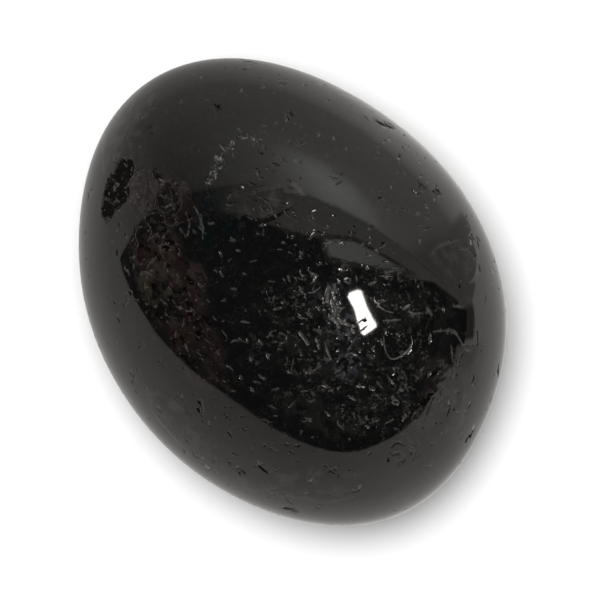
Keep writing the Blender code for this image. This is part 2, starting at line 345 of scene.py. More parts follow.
@dataclass(frozen=True)
class CrackLine:
    """A healed crack: a chain of specks along a path of (bearing, lift) points, in one or more strands."""

    path: tuple[tuple[float, float], ...]
    strands: int = 1


AREA_PATCHES: dict[Area, tuple[Patch, ...]] = {
    Area.BROWN: (
        Patch(-124, 47, 10.4, 3.9, 21), Patch(-158, 36, 4.2, 3.2, 98), Patch(-104, 54, 3.2, 1.6, 175),
        Patch(70, -25, 7.0, 4.0, 160), Patch(-20, -30, 5.0, 3.0, 40),
    ),
    Area.OLIVE: (Patch(-129, 39, 2.6, 2.2, 52), Patch(-127, 46, 1.9, 1.5, 70), Patch(64, -22, 2.4, 1.6, 20)),
    Area.FIBRE: (Patch(20, 26, 5.4, 4.6, 27), Patch(120, -12, 6.0, 3.0, 80), Patch(-80, 5, 5.0, 2.5, 100)),
    Area.TEAL: (Patch(-172, 50, 2.6, 2.4, 49), Patch(-163, 56, 2.6, 1.9, 4), Patch(172, 40, 4.6, 1.8, 36)),
    Area.GREEN: (Patch(-16, 41, 2.2, 1.6, 161), Patch(43, 52, 3.4, 1.8, 104)),
    # The painted glare: patches round the window's highlight
    Area.PAINTED_GLARE: (Patch(45, 75, 1.7, 1.5, 12), Patch(19, 66, 2.3, 1.8, 59), Patch(4, 58, 2.1, 1.7, 52)),
    Area.CLOUD: (Patch(26, 54, 11.0, 8.0, 125), Patch(-8, 46, 6.5, 4.5, 158), Patch(131, 67, 3.4, 1.6, 178)),
    Area.SPECKLE: (Patch(10, 57, 13.0, 7.5, 95), Patch(48, 50, 4.5, 4.0, 90)),
    Area.CLEAR: (Patch(38, 64, 3.4, 1.8, 41),),
    Area.UNEVEN: (
        Patch(21, 28, 5.6, 3.6, 60), Patch(159, 58, 3.8, 1.8, 10), Patch(66, 27, 4.0, 2.4, 90),
        Patch(-75, 24, 5.0, 2.6, 0), Patch(-32, 24, 6.0, 2.4, 0), Patch(-170, 14, 6.0, 4.0, 20),
        Patch(120, 5, 6.0, 4.0, 60),
    ),
}


def towards(bearing: np.ndarray | float, lift: np.ndarray | float) -> np.ndarray:
    """Turns a bearing and a lift into a unit vector.

    Args:
        bearing: angle round Z from +X, in degrees.
        lift: angle above level, in degrees.

    Returns:
        (cos lift cos bearing, cos lift sin bearing, sin lift), with the vectors in the last axis.
    """
    bearing, lift = np.radians(bearing), np.radians(lift)
    return np.stack([np.cos(lift) * np.cos(bearing), np.cos(lift) * np.sin(bearing), np.sin(lift)], axis=-1)


def normalized(vectors: np.ndarray) -> np.ndarray:
    """The vectors of the last axis at unit length."""
    return vectors / np.linalg.norm(vectors, axis=-1, keepdims=True)


def smooth_step(values: np.ndarray) -> np.ndarray:
    """The values held to 0..1 and eased: 3 x squared less 2 x cubed."""
    held = np.clip(values, 0.0, 1.0)
    return held * held * (3 - 2 * held)


def rounded(path: np.ndarray, rounds: int = 2) -> np.ndarray:
    """Cuts the corners of a path.

    Args:
        path: its points, one a row.
        rounds: how many times its corners are cut.

    Returns:
        The path with each inner corner replaced by two points a quarter of the way along its sides.
    """
    for _ in range(rounds if len(path) > 2 else 0):
        cuts = np.stack([path[:-1] * 0.75 + path[1:] * 0.25, path[:-1] * 0.25 + path[1:] * 0.75], axis=1)
        path = np.vstack([path[:1], cuts.reshape(-1, 3)[1:-1], path[-1:]])
    return path


def view_axes() -> tuple[np.ndarray, np.ndarray]:
    """The directions across to the right and up in the view from above, in the stone's frame."""
    turn = math.radians(LONG_AXIS_TURN)
    return np.array([math.cos(turn), math.sin(turn), 0.0]), np.array([-math.sin(turn), math.cos(turn), 0.0])


@dataclass
class StoneForm:
    """The large form: a rounded block with softly worn faces, cut level where it rests.

    The radius along a direction is that of an ellipsoid, less the depth of each worn face times a bell curve
    of the angle to its middle. These are the values that the solid was made from.
    """

    half_length: float = 15.5 * MM
    half_width: float = 11.9 * MM
    half_height: float = 9.3 * MM
    rest_depth: float = 8.55 * MM
    rest_softness: float = 0.02 * MM
    faces: tuple[WornFace, ...] = (
        WornFace(17, 8, 26, 0.95 * MM),
        WornFace(137, -6, 40, 0.80 * MM),
        WornFace(-149, 10, 28, 0.60 * MM),
        WornFace(-35, -8, 31, 0.33 * MM),
        WornFace(100, 60, 34, 0.30 * MM),
        WornFace(-110, 56, 30, 0.30 * MM),
        WornFace(-20, 52, 28, 0.25 * MM),
        WornFace(170, 48, 28, 0.30 * MM),
        WornFace(35, -46, 28, 0.80 * MM),
        WornFace(-100, -42, 28, 0.70 * MM),
        WornFace(160, -44, 26, 0.70 * MM),
        WornFace(-30, -50, 24, 0.45 * MM),
    )

    def radius(self, directions: np.ndarray) -> np.ndarray:
        """The distance from the block's middle to the worn surface, before the resting flat is cut.

        Args:
            directions: unit vectors, one a row.

        Returns:
            1 / |direction / half sizes| less the sum of depth * exp(-(angle / spread) squared) over the
            worn faces.
        """
        halves = np.array([self.half_length, self.half_width, self.half_height])
        reach = 1.0 / np.sqrt(((directions / halves) ** 2).sum(axis=1))
        for face in self.faces:
            cosine = np.clip(directions @ towards(face.bearing, face.lift), -1.0, 1.0)
            reach = reach - face.depth * np.exp(-((np.degrees(np.arccos(cosine)) / face.spread) ** 2))
        return reach

    def points(self, directions: np.ndarray) -> np.ndarray:
        """Points of the worn surface, seen from the block's middle."""
        return directions * self.radius(directions)[:, None]

    def cut_level(self, directions: np.ndarray, reach: np.ndarray) -> np.ndarray:
        """Cuts the resting flat: the smaller of the radius and the plane's distance, with a soft edge.

        Args:
            directions: unit vectors, one a row.
            reach: the radius along each.

        Returns:
            (a + b - sqrt((a - b) squared + softness squared)) / 2, and at most b, for the radius a and the
            plane's distance b.
        """
        # Directions that don't go down take a plane that is far away
        plane = self.rest_depth / np.maximum(-directions[:, 2], 1e-3)
        gap = np.sqrt((reach - plane) ** 2 + self.rest_softness**2)
        return np.minimum((reach + plane - gap) / 2, plane)

    def under(self, plan: np.ndarray) -> np.ndarray:
        """Finds the points of the top that lie under places of the plan.

        Args:
            plan: X and Y of the places, one pair a row.

        Returns:
            The points, with Z found by halving an interval thirty times.
        """
        low, high = np.zeros(len(plan)), np.full(len(plan), self.half_height * 1.2)
        for _ in range(30):
            middle = (low + high) / 2
            trial = np.column_stack([plan, middle])
            outside = np.linalg.norm(trial, axis=1) > self.radius(normalized(trial))
            low, high = np.where(outside, low, middle), np.where(outside, middle, high)
        return np.column_stack([plan, (low + high) / 2])

    def surface_frame(self, bearing: np.ndarray, lift: np.ndarray) -> tuple[np.ndarray, ...]:
        """Finds points of the worn surface with a frame of three unit vectors at each.

        Args:
            bearing: bearings of the points.
            lift: lifts of the points.

        Returns:
            The points, the level direction, the uphill direction and the outward normal. The normal is the
            slope of (distance from the middle less the radius), by central differences.
        """
        directions = towards(bearing, lift)
        points = self.points(directions)
        step = self.half_height * 1e-3
        slopes = []
        for shift in np.eye(3) * step:
            ahead, behind = points + shift, points - shift
            slopes.append(
                np.linalg.norm(ahead, axis=1) - self.radius(normalized(ahead))
                - np.linalg.norm(behind, axis=1) + self.radius(normalized(behind))
            )
        normal = normalized(np.stack(slopes, axis=1))
        turned = np.radians(bearing)
        level = np.stack([-np.sin(turned), np.cos(turned), np.zeros_like(turned)], axis=1)
        level = normalized(level - normal * (level * normal).sum(axis=1, keepdims=True))
        return points, level, np.cross(normal, level), normal

    def laid_out(self, things: tuple[Hollow | Patch, ...]) -> tuple[np.ndarray, ...]:
        """Finds where hollows or patches lie on the worn surface.

        Args:
            things: what is placed, each with a bearing, a lift and a turn.

        Returns:
            Their middles, the directions along them, which are level * cos(turn) + uphill * sin(turn), the
            directions across them, and the outward normals.
        """
        bearing, lift, turn = np.array([(thing.bearing, thing.lift, thing.turn) for thing in things], float).T
        middle, level, uphill, normal = self.surface_frame(bearing, lift)
        turn = np.radians(turn)[:, None]
        along = level * np.cos(turn) + uphill * np.sin(turn)
        return middle, along, np.cross(normal, along), normal


@dataclass
class Ripples:
    """A smooth random function of place: a sum of sine waves in random directions."""

    wavelength: float
    seed: int
    waves: int = 14

    def __post_init__(self) -> None:
        """Draws the waves: their lengths lie within a third of the wavelength."""
        rng = np.random.default_rng(self.seed)
        heading = normalized(rng.normal(size=(self.waves, 3)))
        length = self.wavelength * rng.uniform(0.7, 1.35, self.waves)
        self.vectors = heading * (2 * math.pi / length)[:, None]
        self.phases = rng.uniform(0.0, 2 * math.pi, self.waves)

    def __call__(self, points: np.ndarray) -> np.ndarray:
        """The sum of sin(wave vector . point + phase) over the waves, scaled to spread about 1."""
        return np.sin(points @ self.vectors.T + self.phases).sum(axis=1) * math.sqrt(2.0 / self.waves)


@dataclass
class Bands:
    """Points sorted by height, so that those near a place are found fast."""

    points: np.ndarray

    def __post_init__(self) -> None:
        """Sorts the points by Z."""
        self.order = np.argsort(self.points[:, 2])
        self.heights = self.points[self.order, 2]

    def near(self, middle: np.ndarray, reach: float) -> np.ndarray:
        """Finds the points near a place.

        Args:
            middle: the place.
            reach: how near they are.

        Returns:
            Their indices.
        """
        low, high = np.searchsorted(self.heights, [middle[2] - reach, middle[2] + reach])
        band = self.order[low:high]
        return band[((self.points[band] - middle) ** 2).sum(axis=1) < reach * reach]


@dataclass
class StrokeSet:
    """Narrow rounded grooves and dots.

    Each is a path of points with a width, a share of dust, and how coarse a mesh it takes. The depth goes by
    the width, and is less for a groove that has no dust.
    """

    paths: list[np.ndarray]
    half_widths: np.ndarray
    dust: np.ndarray
    coarse: np.ndarray
    slope: float = 0.34
    soft_slope: float = 0.035
    # The least and the greatest edge of the mesh in a stroke
    mesh_range: tuple[float, float] = (0.075 * MM, 0.13 * MM)

    def __post_init__(self) -> None:
        """Finds the middle of each stroke, how far it reaches, and how fine a mesh it wants."""
        self.middles = np.array([path.mean(axis=0) for path in self.paths])
        spans = [np.linalg.norm(path - middle, axis=1).max()
                 for path, middle in zip(self.paths, self.middles)]
        self.reach = np.array(spans) + self.half_widths * 1.3
        self.depths = self.half_widths * np.where(self.dust == 0.0, self.soft_slope, self.slope)
        self.fine = np.clip(self.half_widths, *self.mesh_range) * self.coarse

    def away(self, number: int, points: np.ndarray) -> tuple[np.ndarray, np.ndarray]:
        """How far points are from a stroke.

        Args:
            number: which stroke.
            points: places, one a row.

        Returns:
            The distance of each point to the path, and how far along the path the nearest place is, 0..1.
        """
        path = self.paths[number]
        starts, runs = path[:-1], np.diff(path, axis=0)
        squares = np.maximum((runs**2).sum(axis=1), 1e-18)
        offset = points[:, None] - starts[None]
        along = np.clip((offset * runs).sum(axis=2) / squares, 0.0, 1.0)
        distance = np.linalg.norm(offset - along[..., None] * runs, axis=2)
        piece = distance.argmin(axis=1)
        rows = np.arange(len(points))
        return distance[rows, piece], (piece + along[rows, piece]) / len(runs)


@dataclass
class HollowField:
    """All the hollows: the larger ones, the marks of the top, healed cracks and a seeded scatter."""

    form: StoneForm
    placed: tuple[Hollow, ...] = (
        # The deep pocket near one end, three hollows run together, and the shallow chip beside it
        Hollow(-154, 21.5, 2.4 * MM, 2.20 * MM, 0.60 * MM, 20),
        Hollow(-160, 21.5, 1.7 * MM, 1.60 * MM, 0.48 * MM, 120),
        Hollow(-149, 20.5, 1.7 * MM, 1.30 * MM, 0.42 * MM, 175),
        Hollow(-162, 38, 2.0 * MM, 1.50 * MM, 0.16 * MM, 7, Relief.CRESCENT),
        Hollow(-165, 32, 0.8 * MM, 0.45 * MM, 0.20 * MM, 110),
        # The group of nicks on the far shoulder, and the groove near it
        Hollow(93, 27, 0.8 * MM, 0.45 * MM, 0.20 * MM, 54, Relief.CHIP),
        Hollow(93, 31, 0.6 * MM, 0.35 * MM, 0.16 * MM, 41, Relief.CHIP),
        Hollow(89, 23, 0.7 * MM, 0.40 * MM, 0.16 * MM, 50, Relief.CHIP),
        Hollow(116, 15, 1.7 * MM, 0.35 * MM, 0.15 * MM, 29, Relief.CREASE),
        # Dashes along the rim and the near flank
        Hollow(34, 7, 1.0 * MM, 0.30 * MM, 0.14 * MM, 47, Relief.CREASE),
        Hollow(16, 9, 1.1 * MM, 0.35 * MM, 0.16 * MM, 163, Relief.CREASE),
        Hollow(-35, 13, 1.1 * MM, 0.35 * MM, 0.13 * MM, 178, Relief.CREASE),
        Hollow(-44, 27, 0.9 * MM, 0.30 * MM, 0.13 * MM, 157, Relief.CREASE),
        Hollow(-50, 23, 0.8 * MM, 0.30 * MM, 0.12 * MM, 170, Relief.CREASE),
        Hollow(-73, 36, 0.9 * MM, 0.30 * MM, 0.12 * MM, 123, Relief.CREASE),
        Hollow(-173, 21, 0.8 * MM, 0.45 * MM, 0.16 * MM, 92, Relief.CRESCENT),
        Hollow(168, 26, 0.8 * MM, 0.35 * MM, 0.15 * MM, 95),
        Hollow(146, 29, 0.6 * MM, 0.45 * MM, 0.16 * MM, 130),
        # Around the back and the underside
        Hollow(70, -32, 1.7 * MM, 1.00 * MM, 0.40 * MM, 20),
        Hollow(66, -27, 1.0 * MM, 0.70 * MM, 0.30 * MM, 120),
        Hollow(-60, -35, 1.9 * MM, 1.20 * MM, 0.22 * MM, 150, Relief.CHIP),
        Hollow(128, -22, 0.9 * MM, 0.50 * MM, 0.20 * MM, 70),
        Hollow(-118, -18, 1.1 * MM, 0.40 * MM, 0.16 * MM, 30, Relief.CREASE),
        Hollow(8, -28, 0.9 * MM, 0.45 * MM, 0.18 * MM, 100),
        Hollow(175, -30, 1.2 * MM, 0.40 * MM, 0.16 * MM, 15, Relief.CREASE),
    )
    cracks: tuple[CrackLine, ...] = (
        CrackLine(
            ((163.5, 35.6), (168.3, 37.3), (173.3, 38.9), (175.5, 41.3), (180.5, 43.2), (184.2, 44.2)), 3
        ),
        CrackLine(((156, 36), (160, 37.5), (163.5, 36.5))),
        CrackLine(((-40, -20), (-30, -26), (-22, -24)), 2),
    )
    seed: int = 7
    # The specks of a crack: how many to each piece of its path, their play and the step between strands as
    # bearing and lift, the longest in mm, their half widths in mm, and how dusty one may be, where a value
    # over 1 is partly a painted glint
    specks: int = 9
    speck_play: tuple[float, float] = (0.9, 0.5)
    strand_step: tuple[float, float] = (1.4, 0.3)
    speck_length: float = 0.20
    speck_half_widths: tuple[float, float] = (0.05, 0.095)
    speck_dust: tuple[float, ...] = (-0.5, 0.6, 1.0, 1.25)
    # The scatter: its greatest number, and the size of its loose groups
    scatter_count: int = 1050
    group_size: float = 6.0 * MM
    # Less of it falls beside the brown area: the place as bearing and lift, the cosine of the angle to it
    # where the thinning starts, how much further it is full, and its share. None falls on one small round
    # patch, the most even part of the polish: its place, and its reach as an angle
    thin_spot: tuple[float, float] = (-130.0, 70.0)
    thin_from: float = 0.90
    thin_over: float = 0.06
    thin_share: float = 0.9
    bare_spot: tuple[float, float] = (39.0, 64.0)
    bare_reach: float = 7.0
    # How irregular the outlines are, and over what length
    irregular: float = 0.05 * MM
    wobble_length: float = 0.45 * MM
    # The edges of the mesh: the least and the greatest in a larger hollow, and how coarse they are in a mark
    # of the top and in other strokes
    mesh_range: tuple[float, float] = (0.06 * MM, 0.14 * MM)
    traced_mesh: float = 0.8
    other_mesh: float = 1.1

    def __post_init__(self) -> None:
        """Lays out the hollows and the strokes on the form."""
        rng = np.random.default_rng(self.seed)
        self.middle, self.along, self.across, _ = self.form.laid_out(self.placed)
        self.half = np.array([[hollow.length / 2, hollow.width / 2] for hollow in self.placed])
        self.fine = np.clip(self.half[:, 1] * 0.4, *self.mesh_range)
        # A narrow hollow is less gloomy than one that is over 1.1 mm wide
        self.gloom = np.clip(self.half[:, 1] / (0.55 * MM), 0.25, 1.0)
        self.wobble = [Ripples(self.wobble_length, self.seed + step) for step in (1, 2)]
        groups = [self.top_marks(), self.crack_specks(rng), self.scattered(rng)]
        self.strokes = StrokeSet(
            [path for group in groups for path in group[0]],
            np.concatenate([group[1] for group in groups]),
            np.concatenate([group[2] for group in groups]),
            np.repeat((self.traced_mesh, self.other_mesh, self.other_mesh), [len(one[0]) for one in groups]),
        )

    def top_marks(self) -> Marks:
        """The marks of the top, dropped onto the surface.

        Returns:
            Their paths, half widths and dust. Corners are rounded, and a dot is a path of two like points.
        """
        right, up = view_axes()
        marks = [(path, *kind) for kind, paths in TOP_MARKS.items() for path in paths]
        sizes = [len(path) // 2 for path, _, _ in marks]
        places = np.concatenate([np.reshape(path, (-1, 2)) for path, _, _ in marks]) * MM
        points = self.form.under((places[:, :1] * right + places[:, 1:] * up)[:, :2])
        paths = [rounded(path) for path in np.split(points, np.cumsum(sizes)[:-1])]
        paths = [path if len(path) > 1 else np.vstack([path, path]) for path in paths]
        widths, dust = np.array([mark[1:] for mark in marks]).T
        return paths, widths * MM / 2, dust

    def crack_specks(self, rng: np.random.Generator) -> Marks:
        """The specks of the healed cracks, spaced along each path with a little play.

        Args:
            rng: draws the places, the sizes and the dust.

        Returns:
            Their paths, half widths and dust. A speck lies between two knots of its crack, moved by a normal
            play and by the step of its strand.
        """
        bearings, lifts = [], []
        for crack in self.cracks:
            path = np.array(crack.path, float)
            knots = np.arange(len(path))
            count = self.specks * (len(path) - 1)
            for strand in range(crack.strands):
                at = np.sort(rng.uniform(0, len(path) - 1, count))
                bearing = np.interp(at, knots, path[:, 0]) + rng.normal(0, self.speck_play[0], count)
                lift = np.interp(at, knots, path[:, 1]) + rng.normal(0, self.speck_play[1], count)
                bearings.append(bearing + self.strand_step[0] * strand - self.strand_step[0])
                lifts.append(lift + self.strand_step[1] * strand)
        bearings, lifts = np.concatenate(bearings), np.concatenate(lifts)
        count = len(bearings)
        paths = self.arcs(bearings, lifts, rng.uniform(0.0, self.speck_length, count) * MM, rng)
        half_widths = rng.uniform(*self.speck_half_widths, count) * MM
        return paths, half_widths, rng.choice(self.speck_dust, count)

    def scattered(self, rng: np.random.Generator) -> Marks:
        """The small marks all over, in loose groups, with more of them on the top: short arcs and dots.

        Args:
            rng: draws the places, the sizes and the dust.

        Returns:
            Their paths, half widths and dust. A random direction is kept where a random level is under the
            ripples there plus 1.1 * smooth step of 1.6 * its height. Its length is a gamma draw up to 0.7 mm,
            its half width is 0.052 mm times e to a gamma draw, held to 1..2.4, and its dust is a beta draw
            spread over -0.1..1.1.
        """
        group = Ripples(self.group_size, self.seed + 3)
        draws = normalized(rng.normal(size=(self.scatter_count * 5, 3)))
        chance = group(draws * self.form.half_width) + 1.1 * smooth_step(draws[:, 2] * 1.6)
        thinning = (draws @ towards(*self.thin_spot) - self.thin_from) / self.thin_over
        chance -= self.thin_share * smooth_step(thinning)
        chance[draws @ towards(*self.bare_spot) > math.cos(math.radians(self.bare_reach))] = -math.inf
        draws = draws[rng.uniform(-1.2, 2.6, len(draws)) < chance][: self.scatter_count]
        bearings = np.degrees(np.arctan2(draws[:, 1], draws[:, 0]))
        lifts = np.degrees(np.arcsin(draws[:, 2]))
        count = len(draws)
        lengths = rng.gamma(1.3, 0.12, count).clip(0.0, 0.7) * MM
        half_widths = 0.052 * MM * np.exp(rng.gamma(1.2, 0.22, count)).clip(1.0, 2.4)
        return self.arcs(bearings, lifts, lengths, rng), half_widths, rng.beta(1.2, 3.0, count) * 1.2 - 0.1

    def arcs(self, bearings: np.ndarray, lifts: np.ndarray, lengths: np.ndarray,
             rng: np.random.Generator) -> list[np.ndarray]:
        """Short arcs on the surface.

        Args:
            bearings: bearings of their middles.
            lifts: lifts of their middles.
            lengths: how long each is.
            rng: draws the headings and the bends.

        Returns:
            Paths of four points: middle + heading * s * length / 2 + side * bend * length * (1 - s squared),
            for s from -1 to 1, brought back onto the surface.
        """
        middle, level, uphill, normal = self.form.surface_frame(bearings, lifts)
        turn = rng.uniform(0, math.pi, len(middle))[:, None]
        heading = level * np.cos(turn) + uphill * np.sin(turn)
        side = np.cross(normal, heading)
        bend = rng.normal(0, 0.22, len(middle))[:, None, None]
        s = np.linspace(-1, 1, 4)[None, :, None]
        size = lengths[:, None, None]
        points = middle[:, None] + heading[:, None] * s * size / 2 + side[:, None] * bend * size * (1 - s * s)
        flat = normalized(points.reshape(-1, 3))
        return list(self.form.points(flat).reshape(points.shape))

    def profile(self, relief: Relief, u: np.ndarray, v: np.ndarray) -> np.ndarray:
        """The share of its depth that a larger hollow has at a place.

        Args:
            relief: the kind of hollow.
            u: place along the length, 1 at the end.
            v: place across the width, 1 at the edge.

        Returns:
            With s = 1 - u squared - v squared, a bowl is 1.2 * s / (s + 0.2), a crease is
            (1 - |v|) * (1 - u squared), a chip is sqrt(s) * (0.55 + 0.45 * u), and a crescent is
            0.35 * s + 0.65 * exp(-((r - 0.72) / 0.16) squared) * (0.35 + u), where r is the length of (u, v).
            The brackets of the crease, 0.35 + u and s are held to 0..1.
        """
        s = np.clip(1 - u**2 - v**2, 0, 1)
        if relief is Relief.CREASE:
            return np.clip(1 - np.abs(v), 0, 1) * np.clip(1 - u**2, 0, 1)
        if relief is Relief.CHIP:
            return np.sqrt(s) * (0.55 + 0.45 * u)
        if relief is Relief.CRESCENT:
            ring = np.exp(-(((np.sqrt(u**2 + v**2) - 0.72) / 0.16) ** 2))
            return 0.35 * s + 0.65 * ring * np.clip(0.35 + u, 0, 1) * (s > 0)
        return 1.2 * s / (s + 0.2)

    def place_in(self, number: int, points: np.ndarray) -> tuple[np.ndarray, np.ndarray]:
        """How far points lie along and across a larger hollow."""
        offset = points - self.middle[number]
        return offset @ self.along[number], offset @ self.across[number]

    def cut(self, points: np.ndarray) -> tuple[np.ndarray, np.ndarray, np.ndarray]:
        """How deep the hollows reach at points of the worn surface.

        Args:
            points: points of the surface before the hollows are cut.

        Returns:
            The depth at each point, which is the deepest of the hollows there, its dust (above 1 for a
            painted glint, below 0 for a dark stain), and the share of a larger hollow's depth. A stroke is
            1 - (distance / half width) squared deep, with the half width at its ends 0.55 of that in the
            middle. Outlines are made irregular by a smooth random shift.
        """
        depth, dust, pocket = np.zeros((3, len(points)))
        bands = Bands(points)
        shift_u, shift_v = (wobble(points) * self.irregular for wobble in self.wobble)
        lengths, widths = self.half.T
        for number, hollow in enumerate(self.placed):
            close = bands.near(self.middle[number], self.half[number].max() * 1.25)
            if not len(close):
                continue
            u, v = self.place_in(number, points[close])
            u = (u + shift_u[close]) / lengths[number]
            v = (v + shift_v[close]) / widths[number]
            part = self.profile(hollow.relief, u, v)
            depth[close] = np.maximum(depth[close], part * hollow.depth)
            pocket[close] = np.maximum(pocket[close], part * self.gloom[number])
        strokes = self.strokes
        for number, middle in enumerate(strokes.middles):
            close = bands.near(middle, strokes.reach[number])
            if not len(close):
                continue
            distance, along = strokes.away(number, points[close])
            half = strokes.half_widths[number] * (1 - 0.45 * (2 * along - 1) ** 2)
            part = np.clip(1 - ((distance + 0.25 * shift_u[close]) / half) ** 2, 0, 1)
            depth[close] = np.maximum(depth[close], part * strokes.depths[number])
            marked = smooth_step(part * 1.25) * strokes.dust[number]
            dust[close] = np.where(np.abs(marked) > np.abs(dust[close]), marked, dust[close])
        return depth, dust, pocket

    def wanted_length(self, points: np.ndarray, lengths: np.ndarray) -> np.ndarray:
        """The longest edge that the mesh may have at each edge's middle.

        Args:
            points: the middles of the edges.
            lengths: how long the edges are.

        Returns:
            The longest edge there: fine within 1.15 of a hollow's half sizes plus 0.35 of the edge, and
            within 1.1 of a stroke's half width plus 0.3 of the edge, with no limit elsewhere.
        """
        wanted = np.full(len(points), np.inf)
        bands = Bands(points)
        slack = lengths.max() * 0.5
        for number in range(len(self.placed)):
            close = bands.near(self.middle[number], self.half[number].max() * 1.2 + slack)
            u, v = self.place_in(number, points[close])
            u = u / (self.half[number, 0] * 1.15 + lengths[close] * 0.35)
            v = v / (self.half[number, 1] * 1.15 + lengths[close] * 0.35)
            inside = close[u**2 + v**2 < 1]
            wanted[inside] = np.minimum(wanted[inside], self.fine[number])
        strokes = self.strokes
        for number, middle in enumerate(strokes.middles):
            close = bands.near(middle, strokes.reach[number] + slack)
            if not len(close):
                continue
            distance, _ = strokes.away(number, points[close])
            inside = close[distance < strokes.half_widths[number] * 1.1 + lengths[close] * 0.3]
            wanted[inside] = np.minimum(wanted[inside], strokes.fine[number])
        return wanted


def cube_sphere(cells: int) -> tuple[np.ndarray, np.ndarray]:
    """A closed sphere made of six square grids, the sides of a cube pushed out.

    Args:
        cells: squares along each side.

    Returns:
        Unit vectors and triangles. A grid point (i, j) of a side, from -1 to 1, goes to
        (tan(i pi / 4), tan(j pi / 4), 1) at unit length, so that the squares are even, and points that two
        sides share are made one.
    """
    steps = np.arange(cells + 1)
    i, j = (grid.ravel() for grid in np.meshgrid(steps, steps, indexing="ij"))
    corner = (np.arange(cells)[:, None] * (cells + 1) + np.arange(cells)[None]).ravel()
    squares = np.stack([corner, corner + cells + 1, corner + cells + 2, corner + 1], axis=1)
    lattice, faces = [], []
    for axis in range(3):
        for end in (0, cells):
            side = np.empty((len(i), 3), int)
            side[:, axis] = end
            side[:, (axis + 1) % 3] = i
            side[:, (axis + 2) % 3] = j
            faces.append((squares if end else squares[:, ::-1]) + len(lattice) * len(i))
            lattice.append(side)
    places, index = np.unique(np.concatenate(lattice), axis=0, return_inverse=True)
    squares = index.reshape(-1)[np.concatenate(faces)]
    triangles = np.concatenate([squares[:, [0, 1, 2]], squares[:, [0, 2, 3]]])
    return normalized(np.tan((places / cells * 2 - 1) * math.pi / 4)), triangles


def split_edges(faces: np.ndarray, edge_of: np.ndarray, new_vertex: np.ndarray) -> np.ndarray:
    """Splits triangles at the middles of chosen edges, so that neighbours still share every edge.

    Args:
        faces: triangles as vertex numbers.
        edge_of: for each triangle, the numbers of its three edges, each starting at the corner of its column.
        new_vertex: for each edge, the vertex at its middle, or -1 where it isn't split.

    Returns:
        The new triangles: four where three edges are split, three where two are, two where one is.
    """
    middles = new_vertex[edge_of]
    split = middles >= 0
    count = split.sum(axis=1)
    out = [faces[count == 0]]
    # A triangle is turned so that its one split edge, or its one whole edge, comes first
    first = np.where(count == 1, np.argmax(split, axis=1), np.argmin(split, axis=1))
    turn = (first[:, None] + np.arange(3)) % 3
    turned = np.take_along_axis(faces, turn, axis=1)
    middles = np.take_along_axis(middles, turn, axis=1)
    a, b, c = turned[count == 1].T
    m = middles[count == 1, 0]
    out += [np.stack([a, m, c], axis=1), np.stack([m, b, c], axis=1)]
    a, b, c = turned[count == 2].T
    m, n = middles[count == 2][:, 1:].T
    out += [np.stack([m, c, n], axis=1), np.stack([a, b, m], axis=1), np.stack([a, m, n], axis=1)]
    a, b, c = turned[count == 3].T
    m, n, o = middles[count == 3].T
    out += [np.stack(corners, axis=1) for corners in ((a, m, o), (m, b, n), (o, n, c), (m, n, o))]
    return np.concatenate(out)


